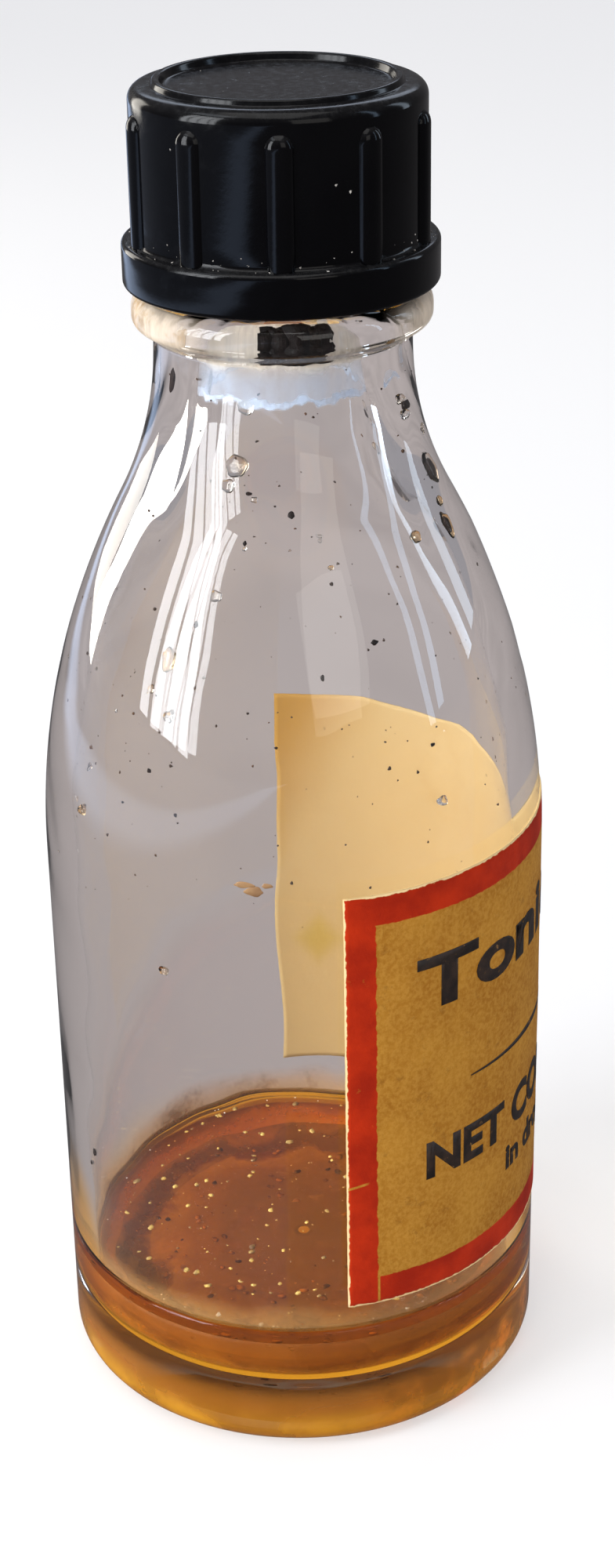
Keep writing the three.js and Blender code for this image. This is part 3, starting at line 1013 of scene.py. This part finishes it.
def bendOntoLabel(mesh, left, base):
    # cuts a flat shape into narrow upright strips, then wraps it round the glass as a thin raised layer
    shape = bmesh.new()
    shape.from_mesh(mesh)
    reach = [vert.co.x for vert in shape.verts]
    step = label["printStrip"] * mm
    for i in range(1, int((max(reach) - min(reach)) / step)):
        everything = shape.verts[:] + shape.edges[:] + shape.faces[:]
        bmesh.ops.bisect_plane(shape, geom=everything, dist=1e-7, plane_co=(min(reach) + i * step, 0, 0),
                               plane_no=(1, 0, 0))
    flat = shape.faces[:]
    raised = bmesh.ops.extrude_face_region(shape, geom=flat)
    top = {item for item in raised["geom"] if isinstance(item, bmesh.types.BMVert)}
    for vert in shape.verts:
        lift = (label["thickness"] + (label["printRise"] if vert in top else -label["printSink"])) * mm
        vert.co = labelPoint(left + vert.co.x, base + vert.co.y, lift)
    bmesh.ops.remove_doubles(shape, verts=shape.verts, dist=1e-7)
    bmesh.ops.recalc_face_normals(shape, faces=shape.faces)
    shape.to_mesh(mesh)
    shape.free()
    return mesh


def printedLine(name, words, size, boldness, width, left, base):
    curve = bpy.data.curves.new(name, "FONT")
    curve.body, curve.size, curve.offset = words, size * mm, boldness * size * mm
    curve.resolution_u = 5
    obj = addObject(name, curve)
    graph = bpy.context.evaluated_depsgraph_get()
    mesh = bpy.data.meshes.new_from_object(obj.evaluated_get(graph))
    bpy.data.objects.remove(obj)
    bare = bmesh.new()
    bare.from_mesh(mesh)
    bmesh.ops.remove_doubles(bare, verts=bare.verts, dist=1e-6)
    bare.to_mesh(mesh)
    bare.free()
    xs = [v.co.x for v in mesh.vertices]
    stretch = width * mm / (max(xs) - min(xs))
    low = min(xs)
    for vert in mesh.vertices:
        vert.co.x = (vert.co.x - low) * stretch
    return bendOntoLabel(mesh, left * mm, base * mm)


def swelledRule():
    # a printer's rule, thick in the middle and pointed at its ends
    steps, wide, tall = 80, label["ruleWidth"] * mm, label["ruleHeight"] * mm
    verts = []
    for i in range(steps + 1):
        share = i / steps
        half = tall / 2 * math.sin(math.pi * share) ** 0.8 + 0.03 * mm
        verts += [(share * wide, -half, 0), (share * wide, half, 0)]
    faces = [(2 * i, 2 * i + 2, 2 * i + 3, 2 * i + 1) for i in range(steps)]
    return bendOntoLabel(meshFrom("rule", verts, faces), label["ruleLeft"] * mm, label["ruleBase"] * mm)


labelSheet = addObject("label_sheet", labelMesh())
labelSheet.data.materials.append(labelMaterial())
labelSheet.data.materials.append(labelBackMaterial())
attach(labelSheet, "bottle")
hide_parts("bottle_label")
ink = inkMaterial()
prints = {"label_rule": swelledRule()}
for line, settings in label["lines"].items():
    prints["label_" + line] = printedLine("label_" + line, *settings)
for name, mesh in prints.items():
    printed = addObject(name, mesh)
    mesh.materials.clear()
    mesh.materials.append(ink)
    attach(printed, "bottle")
print("label and its print")


# medicine, its stains and what has settled in it

liquid = {
    "overlap": 0.06, "meniscus": 0.5, "meniscusWidth": 1.6, "segments": 144,
    "tint": (0.93, 0.73, 0.03, 1), "strength": 250.0,
}


def liquidMaterial():
    material, tree, shader, place = newMaterial("amber_medicine")
    cloud = useGroup(tree, grimePatches, Place=place, Scale=110.0, Cover=0.5, Edge=0.3)["Mask"]
    dress(tree, shader, {
        "Base Color": blendColour(tree, cloud, (1.0, 0.86, 0.55, 1), (0.98, 0.74, 0.36, 1)),
        "Roughness": spread(tree, cloud, 0.0, 1.0, 0.01, 0.06),
        "Transmission Weight": 1.0,
        "IOR": 1.36,
        "Normal": bump(tree, noise(tree, place, 160.0, 2.0), 0.08, 0.3 * mm)})
    depth = tree.nodes.new("ShaderNodeVolumeAbsorption")
    dress(tree, depth, {"Color": liquid["tint"], "Density": liquid["strength"]})
    tree.links.new(depth.outputs[0], tree.nodes["Material Output"].inputs["Volume"])
    passLight(tree, shader, (0.98, 0.93, 0.85, 1))
    return material


def liquidProfile():
    over = liquid["overlap"] * mm
    wall = cavityRadius + over
    floor = glass["baseThickness"] * mm - over
    wide, rise = liquid["meniscusWidth"] * mm, liquid["meniscus"] * mm
    below = roundedLine(floorCorners(wall, floor, level + rise))
    surface = [(wall - wide * i / 8, level + rise * (1 - i / 8) ** 2.6) for i in range(1, 9)]
    return spaced(below + surface + [(0, level)], 1.0 * mm)


medicine = addObject("liquid_pool", turnedMesh("liquid_pool", liquidProfile(), liquid["segments"]))
medicine.data.materials.append(liquidMaterial())
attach(medicine, "bottle")
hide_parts("medicine_liquid")

# thin films on the glass: dried stains, with painted light in the base, round the bead and in the neck

wallZ, wallR = np.array([(p[1], p[0]) for p in innerLine()[::-1] if p[1] > level]).T
films = {
    "tideHeight": 4.2, "tideGap": 0.06, "thickness": 0.04,
    "heelStart": 0.02, "heelTop": 10.2, "neckBottom": 86.4, "neckTop": 98.0,
    "heelGlow": 0.04, "baseTop": 6.4, "baseReach": 14.6, "baseInset": 0.08, "baseGlow": 0.18,
    "beadLightGap": 0.03, "beadLightFoot": 0.3, "beadLightReach": 1.7,
}


def upTheWall(low, high, gap, step=0.4):
    # points on the inside of the wall, heights in mm
    return [(float(np.interp(z * mm, wallZ, wallR)) - gap * mm, z * mm) for z in np.arange(low, high, step)]


def heightOf(tree, place):
    split = tree.nodes.new("ShaderNodeSeparateXYZ")
    put(tree, split.inputs[0], place)
    return calc(tree, "DIVIDE", split.outputs["Z"], mm)


def tideMaterial():
    material, tree, shader, place = newMaterial("dried_tide_mark")
    wander = spread(tree, noise(tree, place, 90.0, 3.0), 0.3, 0.7, -0.6, 0.6)
    height = calc(tree, "ADD", calc(tree, "SUBTRACT", heightOf(tree, place), level / mm), wander)
    thinning = spread(tree, height, 0.2, films["tideHeight"] * 0.75, 1.0, 0.0)
    patches = useGroup(tree, grimePatches, Place=place, Scale=240.0, Cover=0.55, Edge=0.25)["Mask"]
    cover = calc(tree, "MULTIPLY", thinning, calc(tree, "MULTIPLY_ADD", patches, 0.4, 0.35))
    dress(tree, shader, {
        "Base Color": blendColour(tree, patches, (0.50, 0.27, 0.08, 1), (0.24, 0.11, 0.035, 1)),
        "Roughness": spread(tree, patches, 0, 1, 0.3, 0.5),
        "Alpha": cover})
    return material


def heelMaterial():
    # what has settled in the corner of the floor, in bands, with a faint painted glow of their own colour
    material, tree, shader, place = newMaterial("settled_bands_and_glow")
    flat = stretched(tree, place, Vector((1, 1, 0)))
    out = reachOf(tree, flat)
    run = calc(tree, "ADD", calc(tree, "SUBTRACT", calc(tree, "DIVIDE", out, mm), films["heelStart"]),
               calc(tree, "SUBTRACT", heightOf(tree, place), glass["baseThickness"]))
    whole = cavityRadius / mm - films["heelStart"] + films["heelTop"] - glass["baseThickness"]
    wander = spread(tree, noise(tree, place, 150.0, 4.0), 0.25, 0.75, -0.07, 0.07)
    share = calc(tree, "ADD", calc(tree, "DIVIDE", run, whole), wander)
    tone = bands(tree, share, [
        (0.0, (0.24, 0.135, 0.06, 1)), (0.32, (0.28, 0.145, 0.05, 1)), (0.5, (0.42, 0.21, 0.04, 1)),
        (0.58, (0.62, 0.34, 0.04, 1)), (0.62, (0.26, 0.09, 0.02, 1)), (0.69, (0.20, 0.065, 0.012, 1)),
        (0.74, (0.64, 0.28, 0.03, 1)), (0.84, (0.60, 0.22, 0.02, 1)), (0.89, (0.36, 0.11, 0.012, 1)),
        (1.0, (0.30, 0.085, 0.008, 1))])
    patches = useGroup(tree, grimePatches, Place=place, Scale=260.0, Cover=0.58, Edge=0.3)["Mask"]
    cover = calc(tree, "MULTIPLY", calc(tree, "MULTIPLY_ADD", patches, 0.3, 0.66),
                 spread(tree, share, 0.45, 1.05, 1.0, 0.55))
    dress(tree, shader, {
        "Base Color": tone,
        # painted glow: the bands give off a little light of their own colour
        "Emission Color": tone,
        "Emission Strength": films["heelGlow"],
        "Roughness": spread(tree, patches, 0, 1, 0.4, 0.7),
        "Alpha": cover})
    return material


def neckFilmMaterial():
    # a cream film round the bead, blotched brown, and below it a painted bluish highlight laid on as a thin
    # skin with a ragged edge
    material, tree, shader, place = newMaterial("neck_scum")
    height = heightOf(tree, place)
    tall = stretched(tree, place, Vector((1, 1, 0.2)))
    streaks = spread(tree, noise(tree, tall, 600.0, 4.0, 0.6), 0.3, 0.7)
    ragged = calc(tree, "ADD", height, spread(tree, noise(tree, place, 500.0, 3.0), 0.3, 0.7, -0.35, 0.35))
    thin = spread(tree, ragged, 87.0, 87.3, 0.0, 0.3)
    edge = spread(tree, calc(tree, "ABSOLUTE", calc(tree, "SUBTRACT", ragged, 87.4)), 0.1, 0.35, 0.45, 0.0)
    thick = spread(tree, ragged, 89.6, 90.4, 0.0, 0.45)
    cover = calc(tree, "ADD", calc(tree, "ADD", thin, edge), thick)
    blotch = useGroup(tree, grimePatches, Place=place, Scale=320.0, Cover=0.42, Edge=0.12)["Mask"]
    stain = calc(tree, "MULTIPLY", blotch, 0.6)
    upper = blendColour(tree, stain, (0.86, 0.78, 0.66, 1), (0.42, 0.25, 0.10, 1))
    dress(tree, shader, {
        # painted bluish highlight low down, the cream film higher up
        "Base Color": blendColour(tree, spread(tree, height, 88.8, 90.4), (0.62, 0.74, 0.92, 1), upper),
        "Roughness": spread(tree, streaks, 0, 1, 0.35, 0.6),
        "Alpha": calc(tree, "MULTIPLY", cover, spread(tree, streaks, 0, 1, 0.45, 1.0))})
    return material


def addFilm(name, line, material):
    obj = addObject(name, ringSheet(name, line, films["thickness"] * mm))
    obj.data.materials.append(material)
    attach(obj, "bottle")


def heelLine():
    start, top = films["heelStart"] * mm, films["heelTop"] * mm
    line = spaced(innerLine(films["tideGap"] * mm)[::-1], 0.5 * mm)
    return [p for p in line if p[0] > start and p[1] < top]


def paintedBaseGlowMaterial():
    # painted amber light in the thick base, standing for the medicine's light gathered there; it glows, and
    # is brighter and warmer to the label's side
    material, tree, shader, place = newMaterial("amber_base")
    height = heightOf(tree, place)
    side = reachAlong(tree, place, labelSide)
    swirl = spread(tree, noise(tree, place, 130.0, 4.0, 0.6), 0.3, 0.7)
    gold = blendColour(tree, swirl, (0.40, 0.165, 0.008, 1), (0.60, 0.30, 0.012, 1))
    # painted gathered light: a bright orange glow towards the label's side
    gatheredLight = calc(tree, "MULTIPLY", spread(tree, side, 0.0, 14 * mm), spread(tree, swirl, 0.2, 0.9))
    gold = blendColour(tree, spread(tree, height, 1.8, 4.2), gold, (0.36, 0.13, 0.008, 1))
    tone = blendColour(tree, gatheredLight, gold, (1.0, 0.36, 0.02, 1))
    fading = spread(tree, height, 3.8, films["baseTop"], 0.66, 0.0)
    dress(tree, shader, {
        "Base Color": tone,
        "Emission Color": tone,
        "Emission Strength": films["baseGlow"],
        "Roughness": spread(tree, swirl, 0, 1, 0.3, 0.5),
        "Alpha": calc(tree, "MULTIPLY", fading, spread(tree, swirl, 0, 1, 0.75, 1.0))})
    return material


def baseLine():
    # just under the outer skin, from the bearing ring to above the heel
    low = [p for p in outerLine() if p[1] < films["baseTop"] * mm and p[0] > films["baseReach"] * mm]
    low += [(bodyRadius, z * mm) for z in np.arange(low[-1][1] / mm + 0.4, films["baseTop"], 0.4)]
    inset = films["baseInset"] * mm
    return [(p[0] - inset, p[1] + inset) for p in low]


def beadLightMaterial():
    # a cream film outside the bead, painted light standing for its brightly lit glass, strongest towards the
    # label and away from it, broken by browner blotches
    material, tree, shader, place = newMaterial("bead_bloom")
    aside = reachAlong(tree, place, labelSide)
    # painted light: the cover grows towards the bead's sides, where its glass is lit
    thick = spread(tree, calc(tree, "ABSOLUTE", aside), 6 * mm, 11 * mm, 0.0, 0.8)
    blotch = useGroup(tree, grimePatches, Place=place, Scale=300.0, Cover=0.5, Edge=0.2)["Mask"]
    tall = stretched(tree, place, Vector((1, 1, 0.3)))
    streaks = spread(tree, noise(tree, tall, 450.0, 4.0, 0.6), 0.35, 0.65, 0.5, 1.0)
    dress(tree, shader, {
        "Base Color": blendColour(tree, blotch, (0.78, 0.66, 0.52, 1), (0.52, 0.33, 0.15, 1)),
        "Roughness": spread(tree, blotch, 0, 1, 0.3, 0.5),
        "Alpha": calc(tree, "MULTIPLY", thick, streaks)})
    return material


def beadLine():
    low, high = neckBottom + films["beadLightFoot"] * mm, beadTop - 0.02 * mm
    inside = (glass["finishRadius"] + films["beadLightReach"]) * mm
    around = [p for p in outerLine() if low < p[1] < high and p[0] > inside]
    return [(p[0] + films["beadLightGap"] * mm, p[1]) for p in sorted(around, key=lambda p: -p[1])]


tideLine = upTheWall(level / mm + 0.1, level / mm + films["tideHeight"], films["tideGap"])
neckFilmLine = upTheWall(films["neckBottom"], films["neckTop"], 0.05)
addFilm("tide_mark", tideLine, tideMaterial())
addFilm("heel_bands", heelLine(), heelMaterial())
addFilm("amber_base", baseLine(), paintedBaseGlowMaterial())
addFilm("bead_bloom", beadLine(), beadLightMaterial())
addFilm("neck_scum", neckFilmLine, neckFilmMaterial())
print("medicine and the dried films")


# specks, droplets, sediment and dust

litter = {  # copies for each square metre, the smallest and the largest
    "specks": (60000, 0.09, 0.36), "drops": (6500, 0.25, 1.0),
    "sediment": (500000, 0.10, 0.8), "floating": (300000, 0.10, 0.7), "crystals": (160000, 0.15, 0.6),
    "ledgeDust": (900000, 0.04, 0.24), "sideDust": (14000, 0.04, 0.24),
}


def hostBand(name, line, segments=72):
    # the surface of revolution along a line, as a place to scatter on
    verts, faces = [], []
    for radius, z in line:
        for j in range(segments):
            angle = 2 * math.pi * j / segments
            verts.append((radius * math.cos(angle), radius * math.sin(angle), z))
    for i in range(len(line) - 1):
        for j in range(segments):
            k = (j + 1) % segments
            faces.append((i * segments + j, i * segments + k, (i + 1) * segments + k, (i + 1) * segments + j))
    return meshFrom(name, verts, faces)


def simpleMaterial(name, first, second, scale, roughness):
    material, tree, shader, place = newMaterial(name)
    share = spread(tree, noise(tree, place, scale, 3.0), 0.35, 0.65)
    dress(tree, shader, {
        "Base Color": blendColour(tree, share, first, second),
        "Roughness": spread(tree, share, 0, 1, roughness, roughness + 0.15)})
    return material


def dropMaterial():
    material, tree, shader, place = newMaterial("clinging_drops")
    share = spread(tree, noise(tree, place, 120.0, 2.0), 0.45, 0.6)
    dress(tree, shader, {
        "Base Color": blendColour(tree, share, (0.97, 0.96, 0.93, 1), (0.85, 0.62, 0.36, 1)),
        "Roughness": spread(tree, share, 0, 1, 0.01, 0.06),
        "Transmission Weight": 1.0,
        "IOR": 1.36})
    passLight(tree, shader, (0.95, 0.93, 0.9, 1))
    return material


def crustMaterial():
    material, tree, shader, place = newMaterial("dried_medicine")
    grain = useGroup(tree, fineGrain, Place=place, Scale=1500.0)
    dress(tree, shader, {
        "Base Color": blendColour(tree, grain["Tone"], (0.003, 0.0015, 0.0012, 1), (0.018, 0.006, 0.003, 1)),
        "Roughness": spread(tree, grain["Tone"], 0, 1, 0.45, 0.8),
        "Specular IOR Level": 0.3,
        "Normal": bump(tree, grain["Height"], 0.8, 0.25 * mm)})
    return material


def scatter(name, body, line, copy, kind, seed, material):
    density, smallest, largest = litter[kind]
    obj = bakeNodes(name, scatteredCopies, {
        "Copy": copy, "Density": float(density), "Smallest": smallest * mm, "Largest": largest * mm,
        "Seed": seed, "Material": material}, hostBand(name, line))
    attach(obj, body)
    print(name, len(obj.data.polygons), "faces")


grain, bead, flake = lump("grain", 1.3, 0.6), lump("bead", 0.2, 0.5, 3), lump("flake", 2.1, 0.35)
brownSpecks = simpleMaterial("brown_specks", (0.015, 0.008, 0.005, 1), (0.09, 0.04, 0.015, 1), 300.0, 0.5)
clearDrops, dried = dropMaterial(), crustMaterial()
settled = simpleMaterial("settled_matter", (0.05, 0.02, 0.006, 1), (0.5, 0.26, 0.05, 1), 500.0, 0.5)
afloat = simpleMaterial("floating_flakes", (0.75, 0.5, 0.12, 1), (0.16, 0.07, 0.02, 1), 700.0, 0.25)
crystal = simpleMaterial("white_crystals", (0.85, 0.83, 0.8, 1), (0.75, 0.6, 0.4, 1), 700.0, 0.3)
paleDust = simpleMaterial("pale_dust", (0.5, 0.47, 0.43, 1), (0.16, 0.15, 0.14, 1), 900.0, 0.8)
floorTop = (glass["baseThickness"] + 0.75) * mm
face, sunkTop = skirtRadius + 0.01 * mm, capTop - cap["ridgeHeight"] * mm
insideWall = [p for p in innerLine(0.03 * mm) if p[1] > level + 2 * mm and p[1] < neckBottom]
floorLine = [(cavityRadius * share, floorTop) for share in (0.85, 0.5, 0.1)]
floatLine = [(cavityRadius * share, level + 0.02 * mm) for share in (0.93, 0.5, 0.1)]
shoreLine = [(cavityRadius - 0.3 * mm, level + 0.1 * mm), (cavityRadius - 1.6 * mm, level + 0.05 * mm)]
ledgeLine = [(flangeRadius - 0.3 * mm, flangeTop), (skirtRadius + 0.02 * mm, flangeTop + 0.05 * mm),
             (face, flangeTop + 1.2 * mm)]
skirtLine = [(face, flangeTop + 1.0 * mm), (face, capTop - 2.0 * mm)]
topLine = [(skirtRadius * share, sunkTop) for share in (0.74, 0.4, 0.05)]

scatter("wall_specks", "bottle", insideWall, grain, "specks", 4, brownSpecks)
scatter("wall_drops", "bottle", insideWall, bead, "drops", 11, clearDrops)
scatter("settled_flakes", "bottle", floorLine, flake, "sediment", 21, settled)
scatter("floating_flakes", "bottle", floatLine, flake, "floating", 44, afloat)
scatter("white_crystals", "bottle", shoreLine, grain, "crystals", 52, crystal)
scatter("ledge_dust", "cap", ledgeLine, grain, "ledgeDust", 31, paleDust)
scatter("skirt_dust", "cap", skirtLine, grain, "sideDust", 35, paleDust)
scatter("top_dust", "cap", topLine, grain, "sideDust", 37, paleDust)


# dark crust in the neck

crust = {"facing": 180.0, "span": 42.0, "bottom": 91.2, "top": 95.2, "perArea": 8.0e6, "sizes": (0.6, 1.9)}


def crustHost():
    # a ragged patch of the bore wall for the clumps to sit on
    verts, faces, columns = [], [], 16
    for i in range(columns + 1):
        share = i / columns
        angle = math.radians(crust["facing"] + crust["span"] * (share - 0.5))
        ragged = 0.55 + 0.3 * math.sin(share * 11 + 0.4) + 0.2 * math.sin(share * 29)
        high = crust["bottom"] + (crust["top"] - crust["bottom"]) * math.sin(math.pi * share) ** 0.4 * ragged
        for z in (crust["bottom"], max(high, crust["bottom"] + 0.3)):
            verts.append((boreRadius * math.cos(angle), boreRadius * math.sin(angle), z * mm))
    for i in range(columns):
        faces.append((2 * i, 2 * i + 1, 2 * i + 3, 2 * i + 2))  # faces the axis
    return meshFrom("neck_crust", verts, faces)


neckCrust = bakeNodes("neck_crust", scatteredCopies, {
    "Copy": flake, "Density": crust["perArea"], "Smallest": crust["sizes"][0] * mm,
    "Largest": crust["sizes"][1] * mm, "Seed": 9, "Material": dried}, crustHost())
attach(neckCrust, "bottle")
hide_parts("neck_residue")
dropHelpers(grain, bead, flake)


# marks placed one by one on the inside of the wall

# each mark is degrees from the facing, height, width, tallness and depth

marks = {
    "facing": 172.5,
    "brown": [
        (89, 79.0, 1.0, 1.7, 0.5), (76, 75.4, 0.7, 1.3, 0.4), (92, 84.6, 0.5, 0.8, 0.3),
        (-88, 87.5, 0.6, 2.2, 0.35), (-18, 80.6, 0.5, 0.3, 0.2), (2, 79.2, 0.5, 0.6, 0.2),
        (-17, 77.2, 0.3, 0.4, 0.2), (26, 70.2, 0.6, 0.4, 0.2), (9, 68.3, 0.3, 0.5, 0.2),
        (-34, 44.3, 0.25, 0.25, 0.2), (-38, 60.5, 0.35, 0.35, 0.2), (38, 62.0, 0.4, 0.3, 0.2),
        (-62, 22.8, 0.45, 0.7, 0.25), (-64, 21.4, 0.25, 0.4, 0.2), (-30, 71.5, 0.4, 0.5, 0.2),
        (15, 74.5, 0.3, 0.3, 0.2), (-4, 63.5, 0.3, 0.2, 0.15)],
    "clear": [
        (89, 79.0, 2.0, 2.9, 0.6), (76, 75.4, 1.3, 2.2, 0.5), (80, 76.9, 0.9, 0.9, 0.4),
        (-26, 82.5, 1.6, 1.8, 0.6), (-29, 81.0, 1.1, 1.1, 0.5), (-23, 87.0, 1.2, 1.2, 0.5),
        (88, 85.4, 0.8, 0.9, 0.4), (88, 84.0, 0.7, 0.8, 0.4), (-34, 64.8, 0.9, 0.9, 0.4),
        (-37, 68.8, 1.3, 1.9, 0.4), (-33, 44.3, 0.8, 0.8, 0.35), (-25, 73.6, 0.9, 0.9, 0.4),
        (55, 76.0, 0.9, 1.0, 0.4), (-41, 66.4, 0.6, 0.7, 0.3), (-15, 80.2, 0.5, 0.5, 0.3)],
    "tan": [
        (-12, 52.9, 1.6, 0.5, 0.08), (-9.5, 52.4, 1.4, 0.8, 0.1), (-6.5, 52.9, 0.8, 0.4, 0.08)],
    "amber": [
        (-80, 92.8, 1.6, 2.6, 0.35), (-72, 91.6, 0.9, 1.2, 0.3), (78, 92.6, 1.0, 1.6, 0.3)],
}


def wallMarks(name, blobs, material):
    shape = bmesh.new()
    for turn, z, wide, tall, deep in blobs:
        angle = math.radians(marks["facing"] + turn)
        radial = Vector((math.cos(angle), math.sin(angle), 0))
        low, high = (float(np.interp((z + step) * mm, wallZ, wallR)) for step in (-0.5, 0.5))
        along = (radial * (high - low) + Vector((0, 0, mm))).normalized()
        inward = Vector((-math.sin(angle), math.cos(angle), 0)).cross(along) * -1
        aside = along.cross(inward)
        spot = radial * ((low + high) / 2 - 0.02 * mm) + Vector((0, 0, z * mm))
        basis = Matrix((aside, along, inward)).transposed().to_4x4()
        size = Matrix.Diagonal((wide * mm, tall * mm, deep * mm, 1))
        made = bmesh.ops.create_icosphere(shape, subdivisions=3, radius=0.5)
        for vert in made["verts"]:
            swell = 1 + 0.1 * math.sin(vert.co.x * 9 + turn) + 0.08 * math.sin(vert.co.y * 11 + z)
            vert.co = Matrix.Translation(spot) @ basis @ size @ (vert.co * swell)
    bmesh.ops.recalc_face_normals(shape, faces=shape.faces)
    mesh = bpy.data.meshes.new(name)
    shape.to_mesh(mesh)
    shape.free()
    mesh.polygons.foreach_set("use_smooth", [True] * len(mesh.polygons))
    mesh.materials.append(material)
    obj = addObject(name, mesh)
    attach(obj, "bottle")


wallMarks("brown_marks", marks["brown"], dried)
wallMarks("clear_marks", marks["clear"], clearDrops)
wallMarks("tan_marks", marks["tan"],
          simpleMaterial("tan_smear", (0.34, 0.19, 0.08, 1), (0.2, 0.1, 0.04, 1), 400.0, 0.5))
wallMarks("amber_marks", marks["amber"],
          simpleMaterial("amber_stain", (0.45, 0.24, 0.03, 1), (0.25, 0.11, 0.02, 1), 400.0, 0.4))
print("marks on the wall")


# dregs on the floor of the bottle

dregs = {"thickness": 0.08, "lift": 0.1, "reach": 0.93, "segments": 96}


def dregsMesh():
    def floorLine(lift):
        line = spaced(innerLine(lift * mm)[::-1], 1.0 * mm)
        return [p for p in line if p[0] < cavityRadius * dregs["reach"] and p[1] < level]

    profile = floorLine(dregs["lift"]) + floorLine(dregs["lift"] + dregs["thickness"])[::-1]
    return turnedMesh("floor_dregs", profile, dregs["segments"])


def dregsMaterial():
    material, tree, shader, place = newMaterial("cloudy_dregs")
    patches = useGroup(tree, grimePatches, Place=place, Scale=170.0, Cover=0.5, Edge=0.2)["Mask"]
    specks = useGroup(tree, grimePatches, Place=place, Scale=700.0, Cover=0.45, Edge=0.1)["Mask"]
    aside = reachAlong(tree, place, labelSide)
    thicker = spread(tree, aside, -0.010, 0.012)
    cover = calc(tree, "MULTIPLY_ADD", patches, 0.5, 0.35)
    dress(tree, shader, {
        "Base Color": blendColour(tree, specks, (0.30, 0.14, 0.02, 1), (0.62, 0.36, 0.05, 1)),
        "Roughness": spread(tree, specks, 0, 1, 0.5, 0.7),
        "Alpha": calc(tree, "MULTIPLY", cover, calc(tree, "MULTIPLY_ADD", thicker, 0.75, 0.2))})
    return material


floorDregs = addObject("floor_dregs", dregsMesh())
floorDregs.data.materials.append(dregsMaterial())
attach(floorDregs, "bottle")
print("dregs")

print("done")
